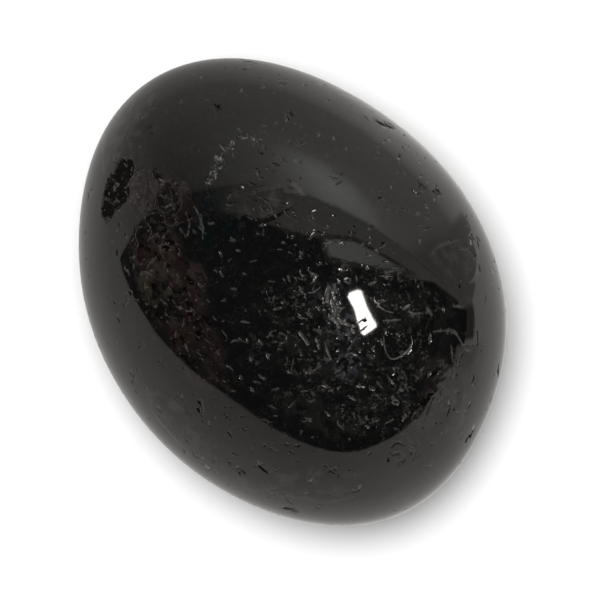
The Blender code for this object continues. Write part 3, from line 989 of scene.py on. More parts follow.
@dataclass
class PolishedStone:
    """The stone's finished surface: the form with its hollows cut, on a mesh that is fine only at hollows."""

    form: StoneForm
    cells: int = 56
    passes: int = 5
    normal_step: float = 6e-4

    def __post_init__(self) -> None:
        """Lays out the hollows on the form."""
        self.hollows = HollowField(self.form)
        self.cloudy = Ripples(2.2 * MM, 31)

    def surface(self, directions: np.ndarray) -> np.ndarray:
        """Points of the finished surface, seen from the block's middle.

        Args:
            directions: unit vectors, one a row.

        Returns:
            direction * (radius less the depth of the hollows, cut level where the stone rests).
        """
        worn = self.form.radius(directions)
        depth = self.hollows.cut(directions * worn[:, None])[0]
        return directions * self.form.cut_level(directions, worn - depth)[:, None]

    def normals(self, directions: np.ndarray) -> np.ndarray:
        """Outward normals of the finished surface.

        Args:
            directions: unit vectors, one a row.

        Returns:
            The cross product of the surface's slopes along two directions, by central differences.
        """
        helper = np.where(np.abs(directions[:, 2:]) < 0.9, [[0.0, 0.0, 1.0]], [[1.0, 0.0, 0.0]])
        east = normalized(np.cross(helper, directions))
        north = np.cross(directions, east)
        slopes = [
            self.surface(normalized(directions + side * self.normal_step))
            - self.surface(normalized(directions - side * self.normal_step))
            for side in (east, north)
        ]
        return normalized(np.cross(slopes[0], slopes[1]))

    def area(self, area: Area, points: np.ndarray) -> np.ndarray:
        """How far each point belongs to an area.

        Args:
            area: the kind of area.
            points: points of the surface, from the block's middle.

        Returns:
            The greatest over the area's patches of a smooth step of (1.3 - r) / 0.6, where r is the length
            of (along / half length, across / half width) with a cloudy shift. Points more than 4 mm below a
            patch are left out of it.
        """
        share = np.zeros(len(points))
        cloud = self.cloudy(points) * 0.14
        patches = AREA_PATCHES[area]
        for patch, middle, along, across, normal in zip(patches, *self.form.laid_out(patches)):
            offset = points - middle
            u = offset @ along / (patch.length * MM / 2)
            v = offset @ across / (patch.width * MM / 2)
            r = np.hypot(u, v) + cloud + 10.0 * (offset @ normal < -4 * MM)
            share = np.maximum(share, smooth_step((1.3 - r) / 0.6))
        return share

    def mesh_arrays(self) -> tuple[np.ndarray, np.ndarray]:
        """Lays out the mesh, and refines it until every edge at a hollow is short enough.

        Returns:
            The directions of its points, and its triangles.
        """
        directions, faces = cube_sphere(self.cells)
        for _ in range(self.passes):
            ends = np.concatenate([faces[:, [0, 1]], faces[:, [1, 2]], faces[:, [2, 0]]])
            edges, index = np.unique(np.sort(ends, axis=1), axis=0, return_inverse=True)
            edge_of = index.reshape(-1).reshape(3, -1).T
            points = self.form.points(directions)
            lengths = np.linalg.norm(points[edges[:, 0]] - points[edges[:, 1]], axis=1)
            halfway = (points[edges[:, 0]] + points[edges[:, 1]]) / 2
            split = lengths > self.hollows.wanted_length(halfway, lengths)
            if not split.any():
                break
            new_vertex = np.full(len(edges), -1)
            new_vertex[split] = len(directions) + np.arange(split.sum())
            directions = np.concatenate([directions, normalized(directions[edges[split]].sum(axis=1))])
            faces = split_edges(faces, edge_of, new_vertex)
        return directions, faces

    def build(self) -> bpy.types.Object:
        """Makes the mesh object, with smooth normals worked out from the surface itself.

        Returns:
            The object, which carries the dust, the pocket and each area as attributes.
        """
        directions, faces = self.mesh_arrays()
        worn = self.form.radius(directions)
        depth, dust, pocket = self.hollows.cut(directions * worn[:, None])
        points = directions * self.form.cut_level(directions, worn - depth)[:, None]
        mesh = bpy.data.meshes.new("tumbled_stone_surface")
        mesh.vertices.add(len(points))
        lifted = points + [0.0, 0.0, self.form.rest_depth]
        mesh.vertices.foreach_set("co", lifted.astype(np.float32).ravel())
        mesh.loops.add(faces.size)
        mesh.loops.foreach_set("vertex_index", faces.astype(np.int32).ravel())
        mesh.polygons.add(len(faces))
        mesh.polygons.foreach_set("loop_start", np.arange(0, faces.size, 3, dtype=np.int32))
        mesh.update(calc_edges=True)
        mesh.shade_smooth()
        mesh.normals_split_custom_set_from_vertices(self.normals(directions).tolist())
        layers = {"dust": dust, "pocket": pocket} | {area.value: self.area(area, points) for area in Area}
        for name, values in layers.items():
            mesh.attributes.new(name, "FLOAT", "POINT").data.foreach_set("value", values.astype(np.float32))
        LOG.info("stone surface: %d triangles", len(faces))
        return new_object("tumbled_stone_surface", mesh)


class NodeSheet:
    """A small helper that adds shader nodes and links them in one line each."""

    def __init__(self, tree: bpy.types.NodeTree) -> None:
        """Clears the tree."""
        self.tree = tree
        tree.nodes.clear()

    def put(self, socket: Socket, value: object) -> None:
        """Links a socket to another node's output, or sets its value.

        Args:
            socket: the input.
            value: the output to link, or what to set.
        """
        if isinstance(value, bpy.types.NodeSocket):
            self.tree.links.new(value, socket)
        else:
            socket.default_value = value

    def add(self, kind: str, settings: dict | None = None, **inputs: object) -> bpy.types.Node:
        """Adds a node.

        Args:
            kind: the node's type name.
            settings: attributes to set on the node.
            inputs: socket names, with spaces as underscores, or positions as i0, i1, and what each takes: a
                number, a colour or the output of another node.

        Returns:
            The new node.
        """
        node = self.tree.nodes.new(kind)
        for name, value in (settings or {}).items():
            setattr(node, name, value)
        for name, value in inputs.items():
            by_place = name[1:].isdigit()
            self.put(node.inputs[int(name[1:])] if by_place else node.inputs[name.replace("_", " ")], value)
        return node

    def math(self, operation: str, first: object, second: object = 0.0) -> Socket:
        """The output of a Math node on two values."""
        return self.add("ShaderNodeMath", {"operation": operation}, i0=first, i1=second).outputs[0]

    def plus(self, first: object, second: object) -> Socket:
        """The sum of two values."""
        return self.math("ADD", first, second)

    def less(self, first: object, second: object) -> Socket:
        """The first value less the second."""
        return self.math("SUBTRACT", first, second)

    def over(self, first: object, second: object) -> Socket:
        """The first value over the second."""
        return self.math("DIVIDE", first, second)

    def most(self, first: object, second: object) -> Socket:
        """The greater of two values."""
        return self.math("MAXIMUM", first, second)

    def product(self, *factors: object) -> Socket:
        """Multiplies values.

        Args:
            factors: two or more values.

        Returns:
            Their product.
        """
        result = factors[0]
        for factor in factors[1:]:
            result = self.math("MULTIPLY", result, factor)
        return result

    def vectors(self, operation: str, first: object, second: object = (0.0, 0.0, 0.0)) -> bpy.types.Node:
        """A Vector Math node on two vectors."""
        return self.add("ShaderNodeVectorMath", {"operation": operation}, i0=first, i1=second)

    def along(self, vector: Socket, axis: np.ndarray) -> Socket:
        """The part of a vector along an axis."""
        return self.vectors("DOT_PRODUCT", vector, tuple(axis)).outputs["Value"]

    def length(self, vector: Socket) -> Socket:
        """The length of a vector."""
        return self.vectors("LENGTH", vector).outputs["Value"]

    def ramp(self, value: object, low: object, high: object, start: object = 0.0, end: object = 1.0,
             smooth: bool = True) -> Socket:
        """Maps a value from low..high to start..end, held at the ends.

        Args:
            value: what is mapped.
            low: the value that gives the start.
            high: the value that gives the end.
            start: the result at low.
            end: the result at high.
            smooth: whether the way between is a smooth step or straight.

        Returns:
            The mapped value.
        """
        kind = "SMOOTHSTEP" if smooth else "LINEAR"
        node = self.add("ShaderNodeMapRange", {"interpolation_type": kind}, Value=value, i1=low, i2=high,
                        i3=start, i4=end)
        return node.outputs[0]

    def noise(self, place: Socket, scale: float, detail: float = 2.0) -> Socket:
        """Smooth noise of a place, with its scale in cycles per metre."""
        return self.add("ShaderNodeTexNoise", Vector=place, Scale=scale, Detail=detail).outputs["Fac"]

    def grain(self, place: Socket, grain: Grain) -> Socket:
        """The noise of a grain, mapped to its range."""
        noise = self.noise(place, grain.scale, grain.detail)
        return self.ramp(noise, grain.low, grain.high, grain.start, grain.end)

    def attribute(self, name: str) -> Socket:
        """A number kept on the mesh."""
        return self.add("ShaderNodeAttribute", {"attribute_name": name}).outputs["Fac"]

    def mix(self, share: object, first: object, second: object) -> Socket:
        """Mixes two colours by a share."""
        node = self.add("ShaderNodeMix", {"data_type": "RGBA"}, i0=share, i6=first, i7=second)
        return node.outputs[2]

    def blend(self, share: object, first: object, second: object) -> Socket:
        """Mixes two numbers by a share."""
        node = self.add("ShaderNodeMix", {"data_type": "FLOAT"}, i0=share, i2=first, i3=second)
        return node.outputs[0]

    def bump(self, distance: float, height: Socket, **normal: Socket) -> Socket:
        """The normal after a relief of a distance, on the true normal or on the one given as Normal."""
        return self.add("ShaderNodeBump", Strength=1.0, Distance=distance, Height=height, **normal).outputs[0]


def new_object(name: str, data: bpy.types.ID) -> bpy.types.Object:
    """Adds an object to the scene.

    Args:
        name: its name.
        data: its mesh, light or camera.

    Returns:
        The object.
    """
    thing = bpy.data.objects.new(name, data)
    bpy.context.scene.collection.objects.link(thing)
    return thing


def new_material(name: str) -> tuple[bpy.types.Material, NodeSheet]:
    """Adds an empty material.

    Args:
        name: its name.

    Returns:
        The material, and the sheet that its nodes go on.
    """
    material = bpy.data.materials.new(name)
    material.use_nodes = True
    return material, NodeSheet(material.node_tree)


@dataclass(frozen=True)
class TourmalineFinish:
    """Black, glassy stone: faint stains and fibres, tiny specks, and dull dusty hollows."""

    black: Colour = (0.0030, 0.0030, 0.0030, 1.0)
    greyed: Colour = (0.0120, 0.0115, 0.0105, 1.0)
    dust: Colour = (0.0480, 0.0460, 0.0430, 1.0)
    brown_dust: Colour = (0.0300, 0.0230, 0.0205, 1.0)
    pocket: Colour = (0.0050, 0.0045, 0.0040, 1.0)
    # A painted glint: the light grey that a mark turns where its dust is over 1, standing in for light caught
    # in a pit
    painted_glint: Colour = (0.3000, 0.3000, 0.2900, 1.0)
    specular_tint: Colour = (1.0, 0.945, 0.895, 1.0)
    index: float = 1.63
    # How rough a dusty mark and a facet in the pocket are, and the polish with its clouding
    dull: float = 0.50
    glassy: float = 0.16
    polish: Grain = Grain(420.0, 0.35, 0.70, 4.0, 0.0280, 0.0595)
    # Greyer blotches, the grit in the pocket, and how the dust of a mark is broken up
    blotches: Grain = Grain(1500.0, 0.46, 0.70, 4.0, 0.0, 0.4)
    grit: Grain = Grain(3400.0, 0.58, 0.68)
    broken: Grain = Grain(4600.0, 0.38, 0.62, 2.0, 0.10, 1.25)
    # The finest specks: two sizes of dots, where the curls are, how strong they all are, and what is left of
    # them away from the speckled area
    dots: Grain = Grain(3600.0, 0.58, 0.70, 1.0)
    fine_dots: Grain = Grain(6500.0, 0.56, 0.70, 1.0, 0.0, 0.75)
    curl_groups: Grain = Grain(1900.0, 0.56, 0.64, 0.0)
    fleck_strength: Grain = Grain(1300.0, 0.36, 0.68, 2.0, 0.05, 0.80)
    flecks_elsewhere: float = 0.16
    # The heights of the finest relief in metres, and how far the facets of the upper hollows lean to level
    swell: float = 9e-6
    ripple: float = 2.6e-5
    fleck_depth: float = 4e-6
    rubble: float = 1e-4
    facet_lean: float = 1.25
    tints: tuple[Tint, ...] = (
        Tint(Area.CLOUD, (0.0070, 0.0069, 0.0066, 1.0), 900.0, 0.45, 0.65),
        Tint(Area.TEAL, (0.0018, 0.0036, 0.0038, 1.0), 700.0, 0.35, 0.60),
        Tint(Area.GREEN, (0.0085, 0.0105, 0.0075, 1.0), 1700.0, 0.44, 0.64),
        Tint(Area.UNEVEN, (0.0150, 0.0128, 0.0120, 1.0), 1300.0, 0.46, 0.62),
        Tint(Area.BROWN, (0.0105, 0.0068, 0.0062, 1.0), 450.0, 0.36, 0.60),
        Tint(Area.BROWN, (0.0170, 0.0130, 0.0125, 1.0), 1.0, 0.52, 0.66, 1.0, (700.0, 2400.0, 1400.0)),
        Tint(Area.BROWN, (0.0016, 0.0012, 0.0012, 1.0), 2100.0, 0.52, 0.62),
        Tint(Area.OLIVE, (0.0195, 0.0178, 0.0135, 1.0), 1500.0, 0.42, 0.62),
        Tint(Area.BROWN, (0.0480, 0.0400, 0.0380, 1.0), 3900.0, 0.60, 0.70),
        # Painted glare: a pale bluish haze of light round the window's highlight
        Tint(Area.PAINTED_GLARE, (0.0250, 0.0265, 0.0300, 1.0), 3000.0, 0.46, 0.66),
        Tint(Area.FIBRE, (0.0200, 0.0150, 0.0145, 1.0), 500.0, 0.35, 0.65, 0.4),
        Tint(Area.FIBRE, (0.0015, 0.0012, 0.0012, 1.0), 1.0, 0.55, 0.66, 1.0, (3600.0, 500.0, 900.0)),
    )
    fibre_turn: float = -LONG_AXIS_TURN + 17

    def build(self) -> bpy.types.Material:
        """Makes the material, on Object coordinates and the mesh's own attributes.

        Returns:
            The material.
        """
        material, sheet = new_material("black_tourmaline")
        place = sheet.add("ShaderNodeTexCoord").outputs["Object"]
        dust, pocket = sheet.attribute("dust"), sheet.attribute("pocket")
        flecks = self.flecks(sheet, place)

        colour = self.stained(sheet, place)
        filler = sheet.mix(sheet.attribute(Area.BROWN.value), self.dust, self.brown_dust)
        colour = sheet.mix(flecks, colour, filler)
        colour = sheet.mix(sheet.ramp(pocket, 0.1, 0.5), colour, self.pocket)
        grit = sheet.product(sheet.grain(place, self.grit), sheet.ramp(pocket, 0.1, 0.4))
        colour = sheet.mix(grit, colour, self.dust)
        pale = sheet.product(sheet.most(dust, 0.0), sheet.grain(place, self.broken))
        colour = sheet.mix(sheet.math("MINIMUM", pale, 1.0), colour, filler)
        # Painted glints: marks whose dust is over 1 turn light grey, as if a pit caught the light
        colour = sheet.mix(sheet.ramp(dust, 1.0, 1.7), colour, self.painted_glint)
        colour = sheet.mix(sheet.ramp(dust, 0.0, -0.5), colour, self.pocket)

        marked = sheet.ramp(sheet.math("ABSOLUTE", dust), 0.05, 0.6)
        hollow = sheet.ramp(pocket, 0.05, 0.4)
        worn = sheet.most(sheet.most(marked, hollow), sheet.product(flecks, 0.25))
        rough = sheet.blend(worn, sheet.grain(place, self.polish), self.dull)
        rough = sheet.blend(hollow, rough, self.glassy)

        shader = sheet.add("ShaderNodeBsdfPrincipled", Base_Color=colour, Roughness=rough, IOR=self.index,
                           Specular_Tint=self.specular_tint, Normal=self.bumps(sheet, place, flecks, pocket))
        sheet.add("ShaderNodeOutputMaterial", Surface=shader.outputs[0])
        return material

    def stained(self, sheet: NodeSheet, place: Socket) -> Socket:
        """The colour of the bare stone.

        Args:
            sheet: where the nodes go.
            place: Object coordinates.

        Returns:
            Black with greyer blotches, mostly in the speckled area, and then each tint in its own area.
        """
        speckled = sheet.ramp(sheet.attribute(Area.SPECKLE.value), 0.0, 1.0, 0.35, 1.0)
        blotches = sheet.product(sheet.grain(place, self.blotches), speckled)
        colour = sheet.mix(blotches, self.black, self.greyed)
        for tint in self.tints:
            where = place
            if tint.stretch != (1.0, 1.0, 1.0):
                mapped = sheet.add("ShaderNodeMapping", Vector=place, Scale=tint.stretch,
                                   Rotation=(0.0, 0.0, math.radians(self.fibre_turn)))
                where = mapped.outputs[0]
            noise = sheet.ramp(sheet.noise(where, tint.grain, tint.detail), tint.low, tint.high)
            share = sheet.product(noise, sheet.attribute(tint.area.value), tint.share)
            colour = sheet.mix(share, colour, tint.colour)
        return colour

    def flecks(self, sheet: NodeSheet, place: Socket) -> Socket:
        """The finest specks and short curls.

        Args:
            sheet: where the nodes go.
            place: Object coordinates.

        Returns:
            How much of a speck there is: dots where noise is high and curls where noise is near its middle,
            more of them in the speckled area and none in the clear one.
        """
        ridge = sheet.math("ABSOLUTE", sheet.less(sheet.noise(place, 2200.0, 1.0), 0.5))
        curls = sheet.product(sheet.ramp(ridge, 0.034, 0.010), sheet.grain(place, self.curl_groups))
        dots = sheet.most(sheet.grain(place, self.dots), sheet.grain(place, self.fine_dots))
        zone = sheet.product(
            sheet.ramp(sheet.attribute(Area.SPECKLE.value), 0.0, 1.0, self.flecks_elsewhere, 1.0),
            sheet.ramp(sheet.attribute(Area.CLEAR.value), 0.3, 0.0),
        )
        return sheet.product(sheet.most(dots, curls), sheet.grain(place, self.fleck_strength), zone)

    def bumps(self, sheet: NodeSheet, place: Socket, flecks: Socket, pocket: Socket) -> Socket:
        """The finest relief.

        Args:
            sheet: where the nodes go.
            place: Object coordinates.
            flecks: where the finest specks are.
            pocket: where the larger hollows are.

        Returns:
            The normal after its bumps: a slight swell of the polish, ripples in the uneven areas, the specks
            sunk, and rubble in the hollows. The facets of the rubble in the upper hollows lie nearer to
            level, so they mirror the dark overhead.
        """
        uneven = sheet.ramp(sheet.attribute(Area.UNEVEN.value), 0.1, 0.8)
        ripples = sheet.product(sheet.noise(place, 1150.0, 1.0), uneven)
        rubble = sheet.product(sheet.noise(place, 3000.0), sheet.ramp(pocket, 0.1, 0.6))
        normal = sheet.bump(self.swell, sheet.noise(place, 500.0))
        normal = sheet.bump(self.ripple, ripples, Normal=normal)
        normal = sheet.bump(-self.fleck_depth, flecks, Normal=normal)
        normal = sheet.bump(self.rubble, rubble, Normal=normal)
        height = sheet.add("ShaderNodeSeparateXYZ", Vector=place).outputs[2]
        upper = sheet.ramp(height, 9 * MM, 12 * MM)
        lean = sheet.product(sheet.ramp(pocket, 0.12, 0.35), upper, self.facet_lean)
        upward = sheet.add("ShaderNodeCombineXYZ", Z=lean).outputs[0]
        leaning = sheet.vectors("ADD", normal, upward).outputs[0]
        return sheet.vectors("NORMALIZE", leaning).outputs[0]


@dataclass(frozen=True)
class Glow:
    """What the surroundings send from one direction round the stone, 0 to the right and 90 up in the view.

    The level value is at the horizon, the fall is how much less comes from overhead, and the floor value is
    the glow painted on the floor near the stone, which only the polish sees.
    """

    azimuth: float
    level: float
    fall: float
    floor: float


@dataclass(frozen=True)
class Sheen:
    """A soft oval light on the plane overhead: its middle, half its sizes, and its brightness."""

    middle: tuple[float, float]
    half: tuple[float, float]
    light: float


@dataclass
class Studio:
    """A plain pale floor, soft light from above and pale surroundings, with a dark band overhead.

    The band and the sheen beyond it are what the polish reflects. They are laid out on a level plane
    overhead: "side" is the distance towards the view's right and "far" towards its top, both over the height.
    """

    form: StoneForm
    glows: tuple[Glow, ...] = (
        Glow(-180, 0.52, 0.33, 0.58), Glow(-160, 0.58, 0.33, 0.64), Glow(-130, 0.56, 0.33, 0.58),
        Glow(-100, 0.58, 0.33, 0.64), Glow(-80, 0.63, 0.33, 0.74), Glow(-60, 0.69, 0.33, 0.80),
        Glow(-40, 0.60, 0.30, 0.63), Glow(-20, 0.52, 0.20, 0.66), Glow(-8, 0.40, 0.05, 0.74),
        Glow(4, 0.33, 0.00, 0.78), Glow(25, 0.33, 0.00, 0.76), Glow(31, 0.55, 0.00, 0.80),
        Glow(55, 0.57, 0.00, 0.96), Glow(80, 0.47, -0.04, 0.70), Glow(100, 0.42, 0.05, 0.52),
        Glow(120, 0.37, 0.12, 0.46), Glow(140, 0.35, 0.26, 0.56), Glow(160, 0.40, 0.35, 0.58),
        Glow(180, 0.52, 0.35, 0.58),
    )
    # A colour ramp holds no value below 0, so the falls are kept in it with this much added
    fall_zero: float = 0.5
    # The window: its corners across and up in the view in mm, its height over the block's middle, its light
    window: tuple[tuple[float, float], ...] = (
        (187, 48), (196, 63), (232, 82), (246, 80), (249, 60), (257, 20), (288, -34), (293, -50),
        (272, -65), (222, -93), (207, -88), (203, -66), (199, -5),
    )
    window_height: float = 500 * MM
    window_glow: float = 22.0
    sheens: tuple[Sheen, ...] = (
        Sheen((0.60, 1.02), (0.66, 0.66), 0.60), Sheen((0.75, 1.30), (1.6, 1.1), 0.10),
    )
    # The five-sided light: the slope, start and sign of four sides, where the fifth is, and its rim's light
    sliver_sides: tuple[tuple[float, float, float], ...] = (
        (0.30, 0.350, -1.0), (-0.03, 0.540, -1.0), (0.14, 0.304, 1.0), (0.25, 0.200, 1.0),
    )
    sliver_left: float = 0.325
    sliver_rim: float = 0.10
    # The world's light in the dark band, on matt surfaces, and as the camera sees it
    band_light: float = 0.006
    matt_light: float = 0.16
    view_light: float = 0.70
    white: Colour = (1.0, 1.0, 1.0, 1.0)
    warm: Colour = (1.0, 0.985, 0.965, 1.0)
    cool: Colour = (0.96, 1.02, 1.01, 1.0)
    # The floor: how far it goes, what it throws back, its own glow, and two painted shades in the glow that
    # only the polish sees
    floor_radius: float = 1.8
    floor_albedo: float = 0.88
    floor_glow: float = 0.10
    floor_shade: float = 0.36
    floor_streak: float = 0.13
    # The key lamp: how far it leans from overhead, which way across and up in the view, its distance, its
    # width, and its power in watts
    key_lean: float = 6.3
    key_heading: tuple[float, float] = (-0.643, 0.766)
    key_distance: float = 0.5
    key_width: float = 0.165
    key_power: float = 2.42
    lens_distance: float = 300 * MM

    def __post_init__(self) -> None:
        """The view's right and up directions, in the stone's frame."""
        self.right, self.up = view_axes()

    def round_about(self, sheet: NodeSheet, vector: Socket) -> tuple[Socket, ...]:
        """The surroundings in the direction of a vector round the stone.

        Args:
            sheet: where the nodes go.
            vector: the vector.

        Returns:
            The glow's level, fall and floor values there, from a colour ramp over the angle of
            (vector . right, vector . up).
        """
        angle = sheet.math("ARCTAN2", sheet.along(vector, self.up), sheet.along(vector, self.right))
        ramp = sheet.add("ShaderNodeValToRGB", Fac=sheet.ramp(angle, -math.pi, math.pi, smooth=False))
        stops = ramp.color_ramp.elements
        while len(stops) < len(self.glows):
            stops.new(0.5)
        for stop, glow in zip(stops, self.glows):
            stop.position = (glow.azimuth + 180) / 360
            stop.color = (glow.level, glow.fall + self.fall_zero, glow.floor, 1.0)
        split = sheet.add("ShaderNodeSeparateColor", Color=ramp.outputs[0]).outputs
        return split[0], sheet.less(split[1], self.fall_zero), split[2]

    def floor(self) -> bpy.types.Object:
        """A level disc just under the stone, which glows a little, so that the shadow stays soft and pale.

        Returns:
            The disc: rings of points (r cos turn, r sin turn, just under 0), closed in the middle.
        """
        rings = np.geomspace(0.01, self.floor_radius, 24)
        turns = np.linspace(0, 2 * math.pi, 97)[:-1]
        ring, turn = np.meshgrid(rings, turns, indexing="ij")
        points = np.stack([ring * np.cos(turn), ring * np.sin(turn), np.full_like(ring, -0.01 * MM)], axis=-1)
        count = len(turns)
        a, b = np.meshgrid(np.arange(len(rings) - 1), np.arange(count), indexing="ij")
        c = (b + 1) % count
        quads = np.stack([a * count + b, (a + 1) * count + b, (a + 1) * count + c, a * count + c], axis=-1)
        faces = quads.reshape(-1, 4).tolist() + [list(range(count))]
        mesh = bpy.data.meshes.new("floor")
        mesh.from_pydata(points.reshape(-1, 3).tolist(), [], faces)
        mesh.materials.append(self.floor_material())
        return new_object("floor", mesh)

    def floor_material(self) -> bpy.types.Material:
        """Pale and matt, with a faint glow. What the polish reflects is a painted glow that follows the
        surroundings, and the glow fades at the contact as a painted contact shadow.

        Returns:
            The material. Its parts are told by the distance from the stone, by the slope of up over right in
            the view, and by how far out they lie.
        """
        material, sheet = new_material("pale_floor")
        place = sheet.add("ShaderNodeTexCoord").outputs["Object"]
        level, _, near = self.round_about(sheet, place)
        flat = (1 / self.form.half_length, 1 / self.form.half_width, 1.0)
        under = sheet.length(sheet.vectors("MULTIPLY", place, flat).outputs[0])
        # Painted contact shadow: the glow fades towards the stone, as if the stone hid the sky there
        painted_open_sky = sheet.ramp(under, 0.30, 1.05, 0.12, 1.0)
        side = sheet.along(place, self.right)
        far = sheet.along(place, self.up)
        slope = sheet.over(far, sheet.most(side, 1 * MM))
        to_right = sheet.product(sheet.ramp(slope, -0.22, -0.16), sheet.ramp(slope, 0.56, 0.50))
        # What the polish sees of the floor is a painted glow, brighter or darker by direction like the
        # surroundings, with two painted shades: one beyond the stone to the upper right, and a narrow streak
        # far to the right
        near_share = sheet.most(sheet.ramp(sheet.length(place), 90 * MM, 28 * MM), to_right)
        in_polish = sheet.blend(near_share, level, near)
        past = sheet.product(sheet.ramp(far, 10 * MM, 11 * MM), sheet.ramp(side, 20 * MM, 26 * MM))
        in_polish = sheet.blend(sheet.product(past, to_right), in_polish, self.floor_shade)
        streak = sheet.product(sheet.ramp(slope, -0.16, -0.12), sheet.ramp(slope, 0.09, 0.06),
                               sheet.ramp(side, 100 * MM, 108 * MM))
        in_polish = sheet.product(sheet.blend(streak, in_polish, self.floor_streak), painted_open_sky)
        mirrored = sheet.add("ShaderNodeLightPath").outputs["Is Glossy Ray"]
        glow = sheet.blend(mirrored, sheet.product(painted_open_sky, self.floor_glow), in_polish)
        albedo = sheet.blend(mirrored, self.floor_albedo, 0.0)
        grey = sheet.add("ShaderNodeCombineColor", Red=albedo, Green=albedo, Blue=albedo).outputs[0]
        matt = sheet.add("ShaderNodeBsdfDiffuse", Color=grey)
        tint = sheet.mix(mirrored, self.white, self.warm)
        light = sheet.add("ShaderNodeEmission", Color=tint, Strength=glow)
        both = sheet.add("ShaderNodeAddShader", i0=matt.outputs[0], i1=light.outputs[0])
        sheet.add("ShaderNodeOutputMaterial", Surface=both.outputs[0])
        return material

    def surroundings(self) -> None:
        """The world: pale all round, a dark band overhead, a greyer strip beyond it and a soft sheen."""
        world = bpy.data.worlds.new("studio")
        bpy.context.scene.world = world
        world.use_nodes = True
        sheet = NodeSheet(world.node_tree)
        ray = sheet.add("ShaderNodeTexCoord").outputs["Generated"]
        height = sheet.along(ray, np.array([0.0, 0.0, 1.0]))
        above = sheet.most(height, 0.004)
        side = sheet.over(sheet.along(ray, self.right), above)
        far = sheet.over(sheet.along(ray, self.up), above)

        # The walls and the sheen
        level, fall, _ = self.round_about(sheet, ray)
        light = sheet.less(level, sheet.product(fall, sheet.most(height, 0.0)))
        glow = 0.0
        for sheen in self.sheens:
            glow = sheet.plus(glow, sheet.product(self.oval(sheet, side, far, sheen), sheen.light))
        light = sheet.plus(light, glow)

        # The greyer strip, between the band's near edge and an edge of its own that is drawn a little darker
        near_edge = sheet.plus(sheet.ramp(side, -1.2, 0.4, -1.08, -1.75),
                               sheet.ramp(side, 1.0, 9.0, 0.0, -0.95, False))
        past_near = sheet.ramp(sheet.less(far, near_edge), -0.04, 0.04)
        strip_edge = sheet.plus(sheet.ramp(side, -0.6, 0.2, 0.625, 0.745), sheet.product(side, 0.012))
        past_strip = sheet.ramp(sheet.less(far, strip_edge), -0.022, 0.022)
        strip = sheet.plus(sheet.ramp(side, -0.52, -0.18, 0.035, 0.27),
                           sheet.ramp(side, -0.2, 0.5, 0.0, 0.10))
        light = sheet.blend(sheet.product(past_near, sheet.less(1.0, past_strip)), light, strip)
        from_edge = sheet.math("ABSOLUTE", sheet.less(far, strip_edge))
        light = sheet.product(light, sheet.ramp(from_edge, 0.006, 0.034, 0.74, 1.0))

        # The dark band, with the beam that goes on from it to the right, and the small light in it
        top = sheet.plus(sheet.ramp(side, 1.1, 2.5, 0.0, 0.17),
                         sheet.ramp(side, 2.4, 9.0, 0.442, 0.85, False))
        past_top = sheet.ramp(sheet.less(top, far), -0.014, 0.014)
        in_band = sheet.product(past_near, past_top, sheet.ramp(side, -6.2, -4.8),
                                sheet.ramp(height, 0.105, 0.120))
        beam = sheet.product(sheet.ramp(height, 0.135, 0.120), self.wedge(sheet, ray))
        light = sheet.blend(sheet.most(in_band, beam), light, self.band_light)
        sliver = self.sliver(sheet, side, far)
        in_sliver = sheet.ramp(sliver, -0.008, 0.006)
        light = sheet.blend(sheet.ramp(sliver, -0.046, -0.030), light, self.sliver_rim)
        light = sheet.blend(in_sliver, light, sheet.ramp(side, 0.3, 1.25, 0.78, 0.42))

        path = sheet.add("ShaderNodeLightPath").outputs
        light = sheet.blend(path["Is Diffuse Ray"], light, self.matt_light)
        light = sheet.blend(path["Is Camera Ray"], light, self.view_light)
        tint = sheet.mix(sheet.most(sheet.ramp(glow, 0.05, 0.45), in_sliver), self.warm, self.cool)
        tint = sheet.mix(path["Is Camera Ray"], tint, self.white)
        back = sheet.add("ShaderNodeBackground", Color=tint, Strength=light)
        sheet.add("ShaderNodeOutputWorld", Surface=back.outputs[0])

    def wedge(self, sheet: NodeSheet, ray: Socket) -> Socket:
        """A narrow wedge of directions just below the view's right.

        Args:
            sheet: where the nodes go.
            ray: the direction.

        Returns:
            1 inside and 0 outside, by smooth steps of the slope of up over right.
        """
        slope = sheet.over(sheet.along(ray, self.up), sheet.most(sheet.along(ray, self.right), 1e-3))
        return sheet.product(sheet.ramp(slope, -0.20, -0.16), sheet.ramp(slope, 0.07, 0.05))

    def sliver(self, sheet: NodeSheet, side: Socket, far: Socket) -> Socket:
        """How deep inside a small five-sided light a place overhead is.

        Args:
            sheet: where the nodes go.
            side: the plane's first coordinate.
            far: the plane's second coordinate.

        Returns:
            The least of sign * (far - (slope * side + start)) over four sides, and of side less the fifth.
        """
        least = sheet.less(side, self.sliver_left)
        for slope, start, sign in self.sliver_sides:
            rise = sheet.plus(sheet.product(side, slope), start)
            least = sheet.math("MINIMUM", least, sheet.product(sheet.less(far, rise), sign))
        return least

    def oval(self, sheet: NodeSheet, side: Socket, far: Socket, sheen: Sheen) -> Socket:
        """A soft oval on the plane overhead.

        Args:
            sheet: where the nodes go.
            side: the plane's first coordinate.
            far: the plane's second coordinate.
            sheen: the oval.

        Returns:
            1 in its middle and 0 at its edge: a smooth step of the length of ((side, far) - middle) / half.
        """
        u = sheet.over(sheet.less(side, sheen.middle[0]), sheen.half[0])
        v = sheet.over(sheet.less(far, sheen.middle[1]), sheen.half[1])
        squares = sheet.plus(sheet.product(u, u), sheet.product(v, v))
        return sheet.ramp(sheet.math("SQRT", squares), 1.0, 0.0)

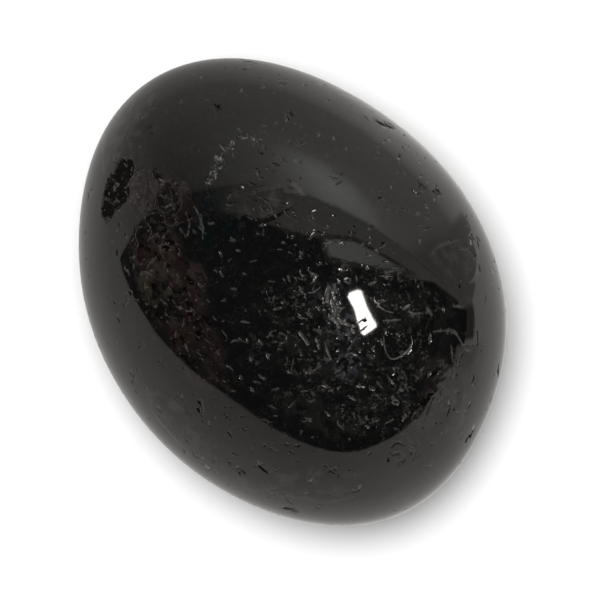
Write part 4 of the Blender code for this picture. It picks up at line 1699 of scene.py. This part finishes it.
    def window_panel(self) -> bpy.types.Object:
        """A small level panel overhead that shows only in the polish, as the reflection of a window.

        Returns:
            The panel, one face with a corner at across * right + up * up for each corner of the window.
        """
        corners = np.array(self.window) * MM
        points = corners[:, :1] * self.right + corners[:, 1:] * self.up
        points[:, 2] = self.form.rest_depth + self.window_height
        mesh = bpy.data.meshes.new("window_panel")
        mesh.from_pydata(points.tolist(), [], [list(range(len(points)))])
        material, sheet = new_material("window_glow")
        light = sheet.add("ShaderNodeEmission", Strength=self.window_glow)
        sheet.add("ShaderNodeOutputMaterial", Surface=light.outputs[0])
        mesh.materials.append(material)
        panel = new_object("window_panel", mesh)
        panel.visible_camera = False
        panel.visible_diffuse = False
        panel.visible_shadow = False
        return panel

    def key_lamp(self) -> bpy.types.Object:
        """A soft round lamp almost overhead, towards the view's upper left. The polish doesn't mirror it.

        Returns:
            The lamp, facing the block's middle.
        """
        data = bpy.data.lights.new("key", "AREA")
        data.shape = "ELLIPSE"
        data.size = data.size_y = self.key_width
        data.energy = self.key_power
        across, rise = self.key_heading
        zenith = np.array([0.0, 0.0, 1.0])
        lean = math.tan(math.radians(self.key_lean)) * (across * self.right + rise * self.up)
        back = normalized(zenith + lean)
        level = normalized(np.cross(zenith, back))
        rows = np.eye(4)
        centre = zenith * self.form.rest_depth + back * self.key_distance
        rows[:3] = np.column_stack([level, np.cross(back, level), back, centre])
        lamp = new_object("key", data)
        lamp.matrix_world = Matrix(rows.tolist())
        lamp.visible_glossy = False
        lamp.visible_camera = False
        return lamp

    def camera(self) -> bpy.types.Object:
        """A long lens that looks straight down, turned and placed as in the view from above.

        Returns:
            The camera. Its view is the width in pixels over the scale, at the lens distance.
        """
        data = bpy.data.cameras.new("view_from_above")
        width = VIEW_PIXELS / PIXELS_PER_MM * MM
        data.sensor_fit = "HORIZONTAL"
        data.angle = 2 * math.atan(width / 2 / self.lens_distance)
        data.clip_start = 10 * MM
        data.clip_end = 5.0
        camera = new_object("view_from_above", data)
        half = VIEW_PIXELS / 2
        right = (half - MIDDLE_IN_VIEW[0]) / PIXELS_PER_MM * MM
        down = (half - MIDDLE_IN_VIEW[1]) / PIXELS_PER_MM * MM
        spot = self.right * right - self.up * down
        camera.location = (spot[0], spot[1], self.form.rest_depth + self.lens_distance)
        camera.rotation_euler = (0.0, 0.0, math.radians(LONG_AXIS_TURN))
        bpy.context.scene.camera = camera
        return camera


def main() -> None:
    """Builds the stone and its studio, and hands the pieces to the frame."""
    logging.basicConfig(level=logging.INFO, format="%(name)s: %(message)s")
    form = StoneForm()
    stone = PolishedStone(form).build()
    stone.data.materials.append(TourmalineFinish().build())
    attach(stone, "root")
    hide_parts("stone")
    LOG.info("stone dressed and riding on root")

    studio = Studio(form)
    studio.floor()
    studio.window_panel()
    studio.surroundings()
    studio.key_lamp()
    studio.camera()
    LOG.info("studio ready")

    scene = bpy.context.scene
    scene.view_settings.view_transform = "Standard"
    scene.view_settings.look = "None"
    scene.view_settings.exposure = 0.0
    scene.view_settings.gamma = 1.0


if __name__ == "__main__":
    main()
